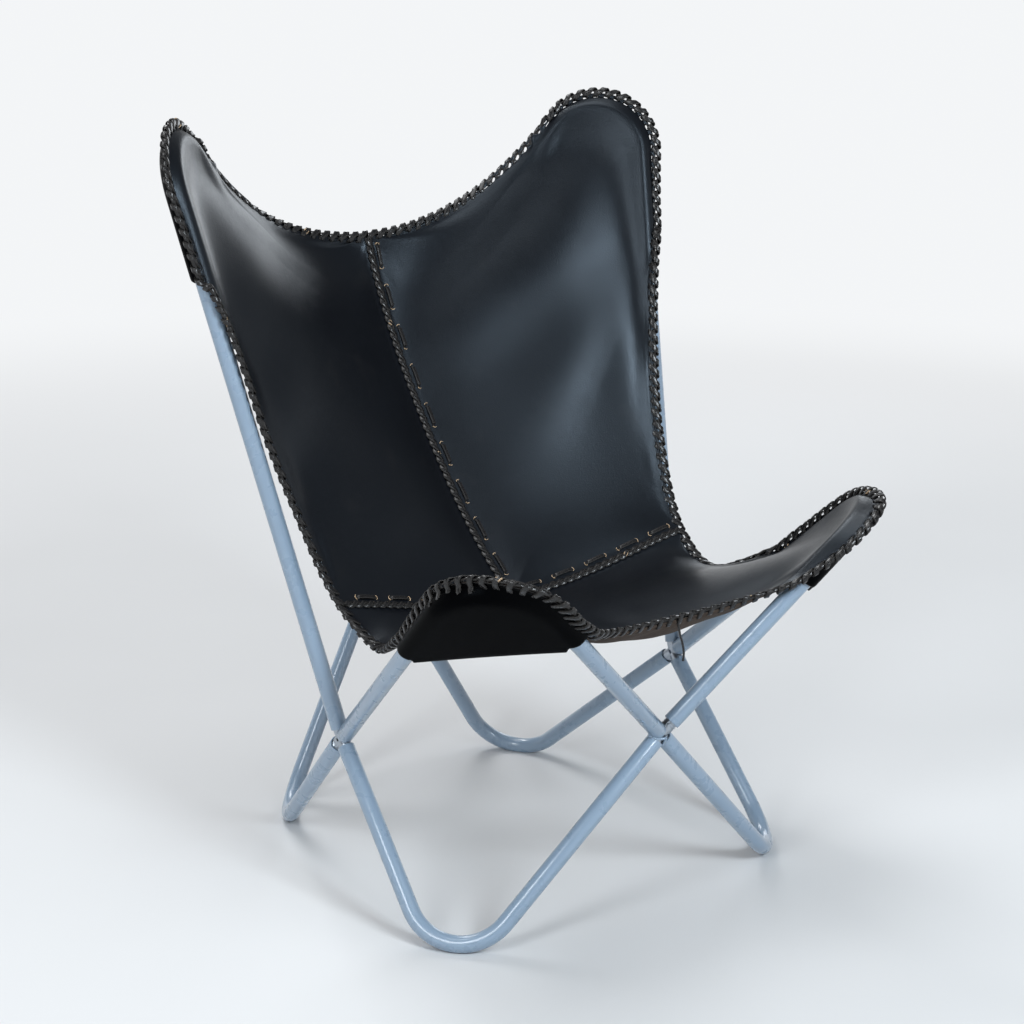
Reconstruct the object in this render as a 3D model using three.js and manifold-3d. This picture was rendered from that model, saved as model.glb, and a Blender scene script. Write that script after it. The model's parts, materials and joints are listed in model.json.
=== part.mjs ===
// A butterfly sling chair: a knock-down frame of eight bent tubes on four cross
// connectors, and a laced leather sling whose corner pockets slip over the horns.
// Millimetres, +Z up, the sitter faces -Y and +X is on the viewer's right from the front.
import * as THREE from "three";
import Module from "manifold-3d";

const wasm = await Module();
wasm.setup();

// Frame tube
const TUBE_DIAMETER = 19;
const TUBE_WALL = 1.5;
const BEND_RADIUS = 62;
const REAR_HORN_RADIUS = 58;
const FOOT_FLAT = 0.8;
const TUBE_SIDES = 12;
const BEND_STEPS = 8;
const WELD_RINGS = 4;

// Cross connectors
const SPIGOT_REACH = 45;
const SPIGOT_CLEARANCE = 0.25;
const WELD_OVER_SPIGOT = 1.2;
const COLLAR_GAP = 1.5;

// Where the tubes cross, and where each bend has its tip
const SIDE_CROSSING = { x: 242, y: 0, z: 188 };
const FRONT_CROSSING = { y: -256, z: 218 };
const BACK_CROSSING = { y: 285, z: 278 };
const FRONT_FOOT = { x: 226, y: -188 };
const REAR_FOOT = { x: 167, y: 237 };
const FRONT_HORN = { x: 254, y: -295, z: 435 };
const REAR_HORN = { x: 299.3, y: 227, z: 822.7 };

// Leather and lace
const LEATHER = 2.4;
const LACE_WIDTH = 6.5;
const LACE_HEIGHT = 8.5;
const SEAM_WIDTH = 9;
const SEAM_FLANGE = 1.6;
const SEAM_WEB = 0.9;
const SEAM_TOP_GAP = 9;
const SEAM_SIDE_GAP = 12;
const SEAM_FLAT = 6;
const CLEARANCE = 0.3;
const LACE_GAP = 0.6;
const DRAPE_EASE = 1.2;
const LACE_EASE = 2.2;

// How finely the leather and lace are faceted
const BACK_SIDE_STEPS = 10;
const SEAT_SIDE_STEPS = 6;
const END_STEPS = 6;
const STRIP_STEP = 9;
const FIELD_ROWS = 7;
const SETTLE_ROUNDS = 300;
const CORNER_ROUNDS = 400;
const WRAP_STEPS = 3;
const POCKET_ROWS = 3;
const RIM_STEP = 21;
const SEAT_SEAM_ROWS = 9;
const TAIL_STEPS = 8;
const TAIL_SIDES = 8;

// Share of a free edge over which it takes on the set of the horn's rim, and the rows on each side
// of the junction over which a panel's rows turn from one seam to the other
const EDGE_FADE = 0.45;
const TURN_SPREAD = 2.5;

// Leather edge round each horn: how far it lies outside the tube and above the horn's plane, at
// even steps from one arm to the other, and how far it runs along the arms past the bend. Below
// zero, it leaves the tube that much before the end of the bend.
const REAR_RIM = {
  section: [[17.6, 0], [17.6, 0]],
  reach: [-22, 120],
};
const FRONT_RIM = {
  section: [[7, 16], [10, 14], [10.5, 13], [15, 8], [31, -6], [14, -4], [16, 8]],
  reach: [105, 60],
};

// Free edges between the horns: the middles of the top and the front with the level length of
// their curves, and the side from the rear horn down to its seam and on to its lowest place
const TOP_EDGE = { y: 303, z: 680.5, level: 139 };
const FRONT_EDGE = { y: -282, z: 356, level: 95 };
const SIDE_UPPER = [[290, 109, 580], [262, 61, 447]];
const SIDE_SEAM = [244, -4, 344];
const SIDE_LOW = [240, -68, 314];

// Seams: the middle of the back, and the line where the back meets the seat
const JUNCTION = { y: 8, z: 302 };
const SEAM_SLOPE = 28;
const BACK_SEAM = { topSlope: 74, topHandle: 117, footHandle: 121 };
const SEAT_MIDDLE = { rearHandle: 80, frontSlope: 20, frontHandle: 95 };
const SEAT_SEAM = { middle: 95, sideHandle: 70 };

// Loose lace end under the front edge
const TAIL_DIAMETER = 2.6;
const TAIL_GAP = 0.8;
const TAIL_ROUTE = [
  [-6, 0, 0],
  [-5, -2, -11],
  [-2, -3, -22],
  [1, -2, -33],
  [3, 1, -43],
];

// Colours from the photograph
const FRAME_COLOUR = 0x9db6cf;
const STEEL_COLOUR = 0x8f99a3;
const LEATHER_COLOUR = 0x17181b;
const LACE_COLOUR = 0x0e0d0d;

const tubeRadius = TUBE_DIAMETER / 2;
const boreRadius = tubeRadius - TUBE_WALL;
const spigotRadius = boreRadius * Math.cos(Math.PI / TUBE_SIDES) - SPIGOT_CLEARANCE;
const drapeRadius = tubeRadius + CLEARANCE + LEATHER / 2 + DRAPE_EASE;
const laceDrapeRadius = tubeRadius + CLEARANCE + LACE_HEIGHT / 2 + LACE_EASE;
const layerOffset = (LEATHER + CLEARANCE) / 2;
const seamHalfGap = SEAM_WEB / 2 + CLEARANCE;

const vec = (x, y, z) => new THREE.Vector3(x, y, z);
const along = (from, direction, length) => from.clone().addScaledVector(direction, length);
const towards = (from, to) => to.clone().sub(from).normalize();
const flipX = (p) => vec(-p.x, p.y, p.z);
const smooth = (x) => THREE.MathUtils.smoothstep(x, 0, 1);
const radians = THREE.MathUtils.degToRad;

// Solids from rings and triangles

function geometryOf(points, triangles) {
  const geometry = new THREE.BufferGeometry();
  geometry.setFromPoints(points);
  geometry.setIndex(triangles);
  return faceOut(geometry);
}

function faceOut(geometry) {
  const p = geometry.attributes.position;
  const index = geometry.index.array;
  const [a, b, c] = [vec(), vec(), vec()];
  let volume = 0;
  for (let i = 0; i < index.length; i += 3) {
    a.fromBufferAttribute(p, index[i]);
    b.fromBufferAttribute(p, index[i + 1]);
    c.fromBufferAttribute(p, index[i + 2]);
    volume += a.dot(b.cross(c));
  }
  if (volume < 0) index.reverse();
  return geometry;
}

// Joins rings of equal count into one skin: a loop of rings closes on itself, a row gets flat ends.
function loft(rings, loop = false) {
  const count = rings[0].length;
  const triangles = [];
  const last = loop ? rings.length : rings.length - 1;
  for (let i = 0; i < last; i += 1) {
    const here = i * count;
    const next = ((i + 1) % rings.length) * count;
    for (let j = 0; j < count; j += 1) {
      const k = (j + 1) % count;
      triangles.push(here + j, here + k, next + k, here + j, next + k, next + j);
    }
  }
  if (!loop) {
    const end = (rings.length - 1) * count;
    const outline = rings[0].map((p, j) => new THREE.Vector2(...sectionOf(rings[0], j)));
    for (const [a, b, c] of THREE.ShapeUtils.triangulateShape(outline, [])) {
      triangles.push(a, c, b, end + a, end + b, end + c);
    }
  }
  return geometryOf(rings.flat(), triangles);
}

// A ring's point in the ring's own plane.
function sectionOf(ring, j) {
  const x = towards(ring[0], ring[1]);
  const z = x.clone().cross(ring[ring.length - 1].clone().sub(ring[0])).normalize();
  const d = ring[j].clone().sub(ring[0]);
  return [d.dot(x), d.dot(z.cross(x))];
}

function circle(centre, right, up, radius, sides) {
  const ring = [];
  for (let i = 0; i < sides; i += 1) {
    const turn = ((i + 0.5) / sides) * 2 * Math.PI;
    const p = along(centre, right, Math.cos(turn) * radius);
    ring.push(p.addScaledVector(up, Math.sin(turn) * radius));
  }
  return ring;
}

function mirrored(geometry) {
  const copy = geometry.clone().applyMatrix4(new THREE.Matrix4().makeScale(-1, 1, 1));
  copy.index.array.reverse();
  return copy;
}

function toManifold(geometry) {
  return new wasm.Manifold(
    new wasm.Mesh({
      numProp: 3,
      vertProperties: new Float32Array(geometry.attributes.position.array),
      triVerts: new Uint32Array(geometry.index.array),
    }),
  );
}

function fromManifold(solid) {
  const mesh = solid.getMesh();
  const geometry = new THREE.BufferGeometry();
  geometry.setAttribute("position", new THREE.BufferAttribute(mesh.vertProperties, 3));
  geometry.setIndex(new THREE.BufferAttribute(mesh.triVerts, 1));
  return geometry;
}

// A sheet is a surface of shared points that becomes a closed solid of one thickness.
class Sheet {
  constructor() {
    this.points = [];
    this.leans = [];
    this.triangles = [];
    this.known = new Map();
  }

  vertex({ point, lean }) {
    const key = point.toArray().map((x) => Math.round(x * 1e3)).join();
    if (!this.known.has(key)) {
      this.known.set(key, this.points.length);
      this.points.push(point);
      this.leans.push(lean);
    }
    return this.known.get(key);
  }

  face(a, b, c) {
    if (a !== b && b !== c && c !== a) this.triangles.push([a, b, c]);
  }

  grid(rows) {
    const ids = rows.map((row) => row.map((spot) => this.vertex(spot)));
    for (let i = 0; i + 1 < ids.length; i += 1) {
      for (let j = 0; j + 1 < ids[i].length; j += 1) {
        const [a, b, c, d] = [ids[i][j], ids[i][j + 1], ids[i + 1][j + 1], ids[i + 1][j]];
        this.face(a, b, c);
        this.face(a, c, d);
      }
    }
    return this;
  }

  normals() {
    const sums = this.points.map(() => vec(0, 0, 0));
    for (const [a, b, c] of this.triangles) {
      const p = this.points[a];
      const side = this.points[b].clone().sub(p);
      const n = side.cross(this.points[c].clone().sub(p));
      for (const i of [a, b, c]) sums[i].add(n);
    }
    return sums.map((sum, i) => (this.leans[i] ? this.leans[i] : sum.normalize()));
  }

  // Adds the other half, mirrored in x.
  mirror() {
    const flipped = this.points.map((point, i) => {
      const lean = this.leans[i];
      return this.vertex({ point: flipX(point), lean: lean && flipX(lean) });
    });
    for (const [a, b, c] of [...this.triangles]) this.face(flipped[a], flipped[c], flipped[b]);
    return this;
  }

  // The rim of the surface gets a wall from one face to the other.
  solid(thickness) {
    const normals = this.normals();
    const count = this.points.length;
    const upper = this.points.map((p, i) => along(p, normals[i], thickness / 2));
    const lower = this.points.map((p, i) => along(p, normals[i], -thickness / 2));
    const triangles = [];
    const edges = new Set(this.triangles.flatMap(([a, b, c]) => [`${a} ${b}`, `${b} ${c}`, `${c} ${a}`]));
    for (const [a, b, c] of this.triangles) {
      triangles.push(a, b, c, count + a, count + c, count + b);
      for (const [from, to] of [[a, b], [b, c], [c, a]]) {
        if (edges.has(`${to} ${from}`)) continue;
        triangles.push(to, from, count + from, to, count + from, count + to);
      }
    }
    return geometryOf([...upper, ...lower], triangles);
  }
}

// Bent tubes

// Two straight arms from a tip's bend to two crossings. The arms' directions depend on the
// corner where they would meet, so the corner is moved until the bend's tip is in its place.
class Bend {
  constructor(tip, radius, endA, endB, inside) {
    this.radius = radius;
    this.endA = endA;
    this.endB = endB;
    const corner = tip.clone();
    for (let i = 0; i < CORNER_ROUNDS; i += 1) {
      this.solve(corner);
      corner.add(tip).sub(this.tip);
    }
    this.solve(corner);
    this.normal = this.armA.clone().cross(this.armB).normalize();
    if (this.normal.dot(inside.clone().sub(tip)) < 0) this.normal.negate();
    this.outA = this.across(this.armA);
    this.outB = this.across(this.armB);
  }

  solve(corner) {
    this.armA = towards(corner, this.endA);
    this.armB = towards(corner, this.endB);
    this.half = this.armA.angleTo(this.armB) / 2;
    this.axis = this.armA.clone().add(this.armB).normalize();
    this.side = this.armA.clone().sub(this.armB).normalize();
    this.centre = along(corner, this.axis, this.radius / Math.sin(this.half));
    this.tip = along(this.centre, this.axis, -this.radius);
    this.curved = this.radius * (Math.PI / 2 - this.half);
    this.straightA = this.endA.distanceTo(corner) - this.radius / Math.tan(this.half);
    this.straightB = this.endB.distanceTo(corner) - this.radius / Math.tan(this.half);
  }

  // The direction out of the bend, in its plane and square to an arm.
  across(arm) {
    const out = this.axis.clone().negate();
    return out.addScaledVector(arm, -out.dot(arm)).normalize();
  }

  // A place on the bend: turn runs from -1 at arm B to 1 at arm A.
  onBend(turn) {
    const angle = turn * (Math.PI / 2 - this.half);
    const out = this.axis.clone().multiplyScalar(-Math.cos(angle));
    out.addScaledVector(this.side, Math.sin(angle));
    return { centre: along(this.centre, out, this.radius), out };
  }

  // A place on an arm, a length past the end of the bend.
  onArm(isA, length) {
    const { centre, out } = this.onBend(isA ? 1 : -1);
    return { centre: along(centre, isA ? this.armA : this.armB, length), out };
  }

  // A place by its length along the tube from the tip, above zero towards arm A.
  at(length) {
    const past = Math.abs(length) - this.curved;
    return past > 0 ? this.onArm(length > 0, past) : this.onBend(length / this.curved);
  }

  // Stations from the end of arm A round the bend to the end of arm B.
  stations(lengthA, lengthB) {
    const list = [this.onArm(true, lengthA)];
    for (let i = 0; i <= BEND_STEPS; i += 1) list.push(this.onBend(1 - (2 * i) / BEND_STEPS));
    list.push(this.onArm(false, lengthB));
    return list;
  }

  // A point's distance outside the tube's centre line and above the bend's plane.
  offsets(point) {
    const d = point.clone().sub(this.centre);
    const height = d.dot(this.normal);
    const turn = Math.atan2(d.dot(this.side), -d.dot(this.axis));
    if (Math.abs(turn) < Math.PI / 2 - this.half) {
      d.addScaledVector(this.normal, -height);
      return { out: d.length() - this.radius, height };
    }
    return { out: d.dot(turn > 0 ? this.outA : this.outB) - this.radius, height };
  }

  // Lifts a point of the sling off the tube where it would cut into it.
  lifted(point, radius) {
    const { out, height } = this.offsets(point);
    if (Math.abs(out) >= radius || height < -radius) return point;
    const least = Math.sqrt(radius * radius - out * out);
    return along(point, this.normal, Math.max(0, least - height));
  }
}

function bentTube(bend, collarA, collarB) {
  const stations = bend.stations(bend.straightA - collarA, bend.straightB - collarB);
  const wall = (radius) => stations.map(({ centre, out }) => {
    return circle(centre, out, bend.normal, radius, TUBE_SIDES);
  });
  return loft([...wall(tubeRadius), ...wall(boreRadius).reverse()], true);
}

// Wears the underside of a foot flat, so that it rests on the floor.
function flattened(geometry) {
  const reach = 4 * BEND_RADIUS;
  const box = new THREE.Box3().setFromBufferAttribute(geometry.attributes.position);
  const middle = box.getCenter(vec());
  const slab = new THREE.BoxGeometry(reach, reach, reach).translate(middle.x, middle.y, -reach / 2);
  slab.deleteAttribute("normal");
  slab.deleteAttribute("uv");
  return fromManifold(toManifold(geometry).subtract(toManifold(mergedByPlace(slab))));
}

function mergedByPlace(geometry) {
  const sheet = new Sheet();
  const p = geometry.attributes.position;
  const ids = [];
  for (let i = 0; i < p.count; i += 1) {
    ids.push(sheet.vertex({ point: vec().fromBufferAttribute(p, i) }));
  }
  const index = Array.from(geometry.index.array, (i) => ids[i]);
  for (let i = 0; i < index.length; i += 3) sheet.face(index[i], index[i + 1], index[i + 2]);
  return geometryOf(sheet.points, sheet.triangles.flat());
}

// Four spigots and their weld, as one piece.
function crossConnector(crossing, arms, collar) {
  const weld = new THREE.SphereGeometry(spigotRadius * WELD_OVER_SPIGOT, TUBE_SIDES, WELD_RINGS);
  let solid = toManifold(mergedByPlace(weld.translate(...crossing)));
  for (const arm of arms) {
    const right = arm.clone().cross(vec(0, 0, 1)).normalize();
    const up = right.clone().cross(arm);
    const length = collar + SPIGOT_REACH;
    const rings = [0, length].map((reach) => {
      return circle(along(crossing, arm, reach), right, up, spigotRadius, TUBE_SIDES);
    });
    solid = solid.add(toManifold(loft(rings)));
  }
  return fromManifold(solid);
}

// How far from a crossing the tubes stop, so that neighbouring ends stay apart.
function collarOf(arms) {
  let least = Math.PI;
  arms.forEach((a, i) => arms.slice(i + 1).forEach((b) => (least = Math.min(least, a.angleTo(b)))));
  return tubeRadius / Math.tan(least / 2) + COLLAR_GAP;
}

// The right half of the frame
const sideCross = vec(SIDE_CROSSING.x, SIDE_CROSSING.y, SIDE_CROSSING.z);
const frontCross = vec(0, FRONT_CROSSING.y, FRONT_CROSSING.z);
const backCross = vec(0, BACK_CROSSING.y, BACK_CROSSING.z);
const junction = vec(0, JUNCTION.y, JUNCTION.z);
const sitter = vec(0, JUNCTION.y + FRONT_CROSSING.y, REAR_HORN.z);
const footHeight = tubeRadius - FOOT_FLAT;
const places = {
  front_foot: vec(FRONT_FOOT.x, FRONT_FOOT.y, footHeight),
  rear_foot: vec(REAR_FOOT.x, REAR_FOOT.y, footHeight),
  front_horn: vec(FRONT_HORN.x, FRONT_HORN.y, FRONT_HORN.z),
  rear_horn: vec(REAR_HORN.x, REAR_HORN.y, REAR_HORN.z),
};
const bends = {
  front_foot: new Bend(places.front_foot, BEND_RADIUS, sideCross, frontCross, junction),
  rear_foot: new Bend(places.rear_foot, BEND_RADIUS, sideCross, backCross, junction),
  front_horn: new Bend(places.front_horn, BEND_RADIUS, sideCross, frontCross, sitter),
  rear_horn: new Bend(places.rear_horn, REAR_HORN_RADIUS, sideCross, backCross, sitter),
};
const sideArms = Object.values(bends).map((bend) => bend.armA.clone().negate());
const halfArms = (names) => names.map((name) => bends[name].armB.clone().negate());
const bothArms = (names) => [...halfArms(names), ...halfArms(names).map(flipX)];
const frontArms = bothArms(["front_foot", "front_horn"]);
const backArms = bothArms(["rear_foot", "rear_horn"]);
const sideCollar = collarOf(sideArms);
const collarB = {
  front_foot: collarOf(frontArms),
  front_horn: collarOf(frontArms),
  rear_foot: collarOf(backArms),
  rear_horn: collarOf(backArms),
};

// The sling's edge, right half, from the middle of the top to the middle of the front

// The angle at which leather from a point of a horn's section meets its circle round the tube, on
// the sitter's side (1) or the outside (-1).
function meetingAngle(x, y, side) {
  return Math.atan2(y, x) + side * Math.acos(Math.min(1, drapeRadius / Math.hypot(x, y)));
}

// Places at even steps from the leather's edge over the tube: straight to the circle round it, then
// on to the top or the bottom of that circle.
function wrap(horn, { centre, out }, edge, side, count) {
  const d = edge.clone().sub(centre);
  const [x, y] = [d.dot(out), d.dot(horn.normal)];
  const meets = meetingAngle(x, y, side);
  const turn = Math.max(0, Math.PI / 2 - side * meets);
  const straight = Math.sqrt(Math.max(0, x * x + y * y - drapeRadius * drapeRadius));
  const place = (angle) => {
    const p = along(centre, out, Math.cos(angle) * drapeRadius);
    return p.addScaledVector(horn.normal, Math.sin(angle) * drapeRadius);
  };
  const list = [];
  for (let k = 1; k <= count; k += 1) {
    const length = ((straight + turn * drapeRadius) * k) / count;
    const past = length - straight;
    if (past < 0) list.push(edge.clone().lerp(place(meets), length / straight));
    else list.push(place(meets + (side * past) / drapeRadius));
  }
  return list;
}

// One spot of the rim in a horn's section: its place and the way out of the leather's edge.
function rimSpot(horn, { centre, out }, margin, lift) {
  const point = along(along(centre, out, margin), horn.normal, lift);
  const leave = (side) => towards(point, wrap(horn, { centre, out }, point, side, WRAP_STEPS)[0]);
  const outward = leave(1).add(leave(-1)).normalize().negate();
  return { point, outward, horn, section: { centre, out }, layer: 1 };
}

// The rim round a horn, from its first arm round the tip to the other arm. The first is arm A where
// the sign is 1 and arm B where it is -1.
function hornRim(horn, { section, reach }, sign) {
  const shape = new THREE.SplineCurve(section.map(([margin, lift]) => new THREE.Vector2(margin, lift)));
  const first = horn.curved + reach[0];
  const last = -horn.curved - reach[1];
  const count = Math.round((first - last) / RIM_STEP);
  const spots = [];
  for (let i = 0; i <= count; i += 1) {
    const place = horn.at(sign * THREE.MathUtils.lerp(first, last, i / count));
    spots.push(rimSpot(horn, place, ...shape.getPoint(i / count)));
  }
  return spots;
}

const rearRim = hornRim(bends.rear_horn, REAR_RIM, -1);
const frontRim = hornRim(bends.front_horn, FRONT_RIM, 1);
const lastOf = (list) => list[list.length - 1];
const topMiddle = vec(0, TOP_EDGE.y, TOP_EDGE.z);
const topControl = vec(TOP_EDGE.level, TOP_EDGE.y, TOP_EDGE.z);
const topEdge = new THREE.QuadraticBezierCurve3(topMiddle, topControl, rearRim[0].point);
const frontMiddle = vec(0, FRONT_EDGE.y, FRONT_EDGE.z);
const frontControl = vec(FRONT_EDGE.level, FRONT_EDGE.y, FRONT_EDGE.z);
const frontEdge = new THREE.QuadraticBezierCurve3(lastOf(frontRim).point, frontControl, frontMiddle);
const sideKnots = [...SIDE_UPPER, SIDE_SEAM, SIDE_LOW].map((p) => vec(...p));
const sideEdge = new THREE.CatmullRomCurve3([lastOf(rearRim).point, ...sideKnots, frontRim[0].point]);
const seamEnd = vec(...SIDE_SEAM);
const seamShare = (SIDE_UPPER.length + 1) / (sideEdge.points.length - 1);

// The seams, right half
const seamWay = (slope) => vec(0, Math.cos(radians(slope)), Math.sin(radians(slope)));
const backWay = seamWay(SEAM_SLOPE);
const backSeam = new THREE.CubicBezierCurve3(
  topMiddle,
  along(topMiddle, seamWay(BACK_SEAM.topSlope), -BACK_SEAM.topHandle),
  along(junction, backWay, BACK_SEAM.footHandle),
  junction,
);
const seatLine = new THREE.CubicBezierCurve3(
  junction,
  along(junction, backWay, -SEAT_MIDDLE.rearHandle),
  along(frontMiddle, seamWay(-SEAT_MIDDLE.frontSlope), SEAT_MIDDLE.frontHandle),
  frontMiddle,
);
const seatSeam = new THREE.CubicBezierCurve3(
  junction,
  vec(SEAT_SEAM.middle, JUNCTION.y, JUNCTION.z),
  along(seamEnd, towards(seamEnd, junction), SEAT_SEAM.sideHandle),
  seamEnd,
);

// Seam directions: into the back and, the other way, into the seat.
const sideBack = sideEdge.getTangent(seamShare).negate();
const intoBack = (u) => backWay.clone().lerp(sideBack, u).normalize();
const sideways = vec(1, 0, 0);

// A stretch of a free edge. Near a horn it takes on the set of that horn's rim, by weight.
function freeSpots(curve, from, to, count, rim, hornAt) {
  const list = [];
  for (let i = 0; i <= count; i += 1) {
    const t = THREE.MathUtils.lerp(from, to, i / count);
    const point = clearOfHorns(curve.getPoint(t), laceDrapeRadius);
    list.push({ point, rim, layer: smooth(1 - Math.abs(t - hornAt) / EDGE_FADE) });
  }
  return list;
}

function clearOfHorns(point, radius) {
  return bends.rear_horn.lifted(bends.front_horn.lifted(point, radius), radius);
}

const topSpots = freeSpots(topEdge, 0, 1, END_STEPS, rearRim[0], 1).slice(0, -1);
const backSide = freeSpots(sideEdge, 0, seamShare, BACK_SIDE_STEPS, lastOf(rearRim), 0).slice(1);
const seatSide = freeSpots(sideEdge, seamShare, 1, SEAT_SIDE_STEPS, frontRim[0], 1).slice(0, -1);
const frontSpots = freeSpots(frontEdge, 0, 1, END_STEPS, lastOf(frontRim), 0).slice(1);
topSpots[0].point.x = seamHalfGap;
lastOf(backSide).point = along(seamEnd, intoBack(1), seamHalfGap);
seatSide[0].point = along(seamEnd, intoBack(1), -seamHalfGap);
const backEdge = [...topSpots, ...rearRim, ...backSide];
const seatEdge = [...seatSide, ...frontRim, ...frontSpots];

// Places along a seam, with the way into the sheet beside it and the sitter's side.
function seamStations(curve, count, wayAt) {
  const list = [];
  for (let i = 0; i <= count; i += 1) {
    const way = wayAt(i / count);
    const lean = curve.getTangent(i / count).cross(way).normalize();
    list.push({ point: curve.getPoint(i / count), way, lean });
  }
  return list;
}

const backSeamRows = backEdge.length - 1 - SEAT_SEAM_ROWS;
const seatLineRows = seatEdge.length - 1 - SEAT_SEAM_ROWS;
const backStations = seamStations(backSeam, backSeamRows, () => sideways);
const sideStations = seamStations(seatSeam, SEAT_SEAM_ROWS, intoBack);
const lineStations = seamStations(seatLine, seatLineRows, () => sideways);

// The seam places that the rows of a half panel run to: along one seam to the junction, then
// along the next. Near the junction the rows turn from the way of one seam to the other's.
function seamSpots(first, second) {
  const turn = first.length - 1;
  return [...first, ...second.slice(1)].map(({ point, way, lean }, i) => {
    const share = smooth((i - turn + TURN_SPREAD) / (2 * TURN_SPREAD));
    const ahead = second[Math.max(0, i - turn)].way;
    const behind = first[Math.min(turn, i)].way;
    return { point, lean, way: behind.clone().lerp(ahead, share).normalize() };
  });
}

// A seam's places moved off its middle line, to leave room for the lacing between the sheets.
function besideSeam(stations, waySign) {
  return stations.map(({ point, way, lean }) => {
    const into = way.clone().multiplyScalar(waySign);
    return { point: along(point, into, seamHalfGap), way: into, lean };
  });
}

const backTargets = seamSpots(besideSeam(backStations, 1), besideSeam(sideStations, 1));
const seatTargets = seamSpots(besideSeam(sideStations, -1).reverse(), lineStations);
backTargets[backSeamRows].point = along(along(junction, sideways, seamHalfGap), backWay, seamHalfGap);
lastOf(backTargets).point = lastOf(backEdge).point;
seatTargets[0].point = seatEdge[0].point;

// Gives each spot of an edge its directions: into the sheet, out of the edge, and to the sitter.
function framed(edge, targets, start, end) {
  edge.forEach((spot, i) => {
    const run = towards(edge[Math.max(0, i - 1)].point, edge[Math.min(edge.length - 1, i + 1)].point);
    const inward = targets[i].point.clone().sub(spot.point);
    const corner = { 0: start, [edge.length - 1]: end }[i];
    if (corner) {
      run.copy(corner.run);
      inward.copy(corner.inward);
    }
    inward.addScaledVector(run, -inward.dot(run)).normalize();
    const outward = inward.clone().negate();
    if (spot.rim) outward.lerp(spot.rim.outward, spot.layer);
    else outward.copy(spot.outward);
    outward.addScaledVector(run, -outward.dot(run)).normalize();
    Object.assign(spot, { inward, outward, lean: run.clone().cross(outward) });
  });
}

const topCorner = { run: sideways, inward: backSeam.getTangent(0) };
const sideCorner = { run: sideBack.clone().negate(), inward: seatSeam.getTangent(1).negate() };
const frontCorner = { run: sideways.clone().negate(), inward: seatLine.getTangent(1).negate() };
framed(backEdge, backTargets, topCorner, sideCorner);
framed(seatEdge, seatTargets, sideCorner, frontCorner);

// Rows of a half panel: from the edge over the tube, if there is one, and on to the seam, beside
// which the leather lies flat under the lacing. Held places stay; the rest settle.
function panelRows(edge, targets) {
  const rows = edge.map((spot, i) => {
    const { point: goal, way, lean } = targets[i];
    const start = along(spot.point, spot.lean, layerOffset * spot.layer);
    const width = start.distanceTo(goal);
    const step = Math.min(STRIP_STEP, width / (WRAP_STEPS + FIELD_ROWS));
    let strip = [];
    for (let k = 1; k <= WRAP_STEPS; k += 1) strip.push({ point: along(start, spot.inward, step * k) });
    if (spot.section) {
      const over = wrap(spot.horn, spot.section, start, 1, WRAP_STEPS);
      strip = over.map((point) => ({ point, held: true }));
    }
    const flat = along(goal, way, Math.min(SEAM_FLAT, width / 4));
    const from = lastOf(strip).point;
    const field = [];
    for (let k = 1; k < FIELD_ROWS; k += 1) field.push({ point: from.clone().lerp(flat, k / FIELD_ROWS) });
    const seam = [{ point: flat, lean, held: true }, { point: goal, lean, held: true }];
    return [{ point: start, lean: spot.lean, held: true }, ...strip, ...field, ...seam];
  });
  return settled(rows);
}

// Lets the free places of a net settle like a stretched skin that rests on the horns: each moves to
// the mean of its four neighbours, weighted by how near they were to begin with.
function settled(rows) {
  const free = [];
  for (let i = 1; i + 1 < rows.length; i += 1) {
    rows[i].forEach((spot, j) => {
      if (spot.held) return;
      const pairs = [[rows[i - 1][j], rows[i + 1][j]], [rows[i][j - 1], rows[i][j + 1]]];
      const around = pairs.flatMap((pair) => {
        const gaps = pair.map(({ point }) => Math.max(1, point.distanceTo(spot.point)));
        return pair.map((near, k) => ({ near, weight: 1 / (gaps[k] * (gaps[0] + gaps[1])) }));
      });
      const total = around.reduce((sum, { weight }) => sum + weight, 0);
      free.push({ spot, around, total });
    });
  }
  for (let round = 0; round < SETTLE_ROUNDS; round += 1) {
    for (const { spot, around, total } of free) {
      const mean = vec(0, 0, 0);
      for (const { near, weight } of around) mean.addScaledVector(near.point, weight / total);
      spot.point = clearOfHorns(mean, drapeRadius);
    }
  }
  return rows;
}

const backPanel = new Sheet().grid(panelRows(backEdge, backTargets)).solid(LEATHER);
const seatPanel = new Sheet().grid(panelRows(seatEdge, seatTargets)).mirror().solid(LEATHER);

// A pocket wraps the outside of a horn, from the laced rim to a mouth across the two arms.
function pocket(rim) {
  const wraps = rim.map(({ point, lean, horn, section }) => {
    const edge = along(point, lean, -layerOffset);
    const outside = wrap(horn, section, edge, -1, WRAP_STEPS).map((p) => ({ point: p }));
    return [{ point: edge, lean }, ...outside];
  });
  const under = wraps.map((row) => lastOf(row).point);
  const rows = wraps.map((row, i) => {
    const mouth = under[0].clone().lerp(lastOf(under), i / (wraps.length - 1));
    const inner = [];
    for (let k = 1; k <= POCKET_ROWS; k += 1) {
      inner.push({ point: under[i].clone().lerp(mouth, k / POCKET_ROWS) });
    }
    return [...row, ...inner];
  });
  return new Sheet().grid(rows).solid(LEATHER);
}

// The lacing along an edge, as one bead against the cut edge of the leather.
function laceRing({ point, outward, lean }) {
  const half = LACE_HEIGHT / 2;
  const section = [[0, -0.6], [0.5, -1], [1, -0.4], [1, 0.4], [0.5, 1], [0, 0.6]];
  return section.map(([out, up]) => {
    return along(along(point, outward, LACE_GAP + out * LACE_WIDTH), lean, up * half);
  });
}

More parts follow.
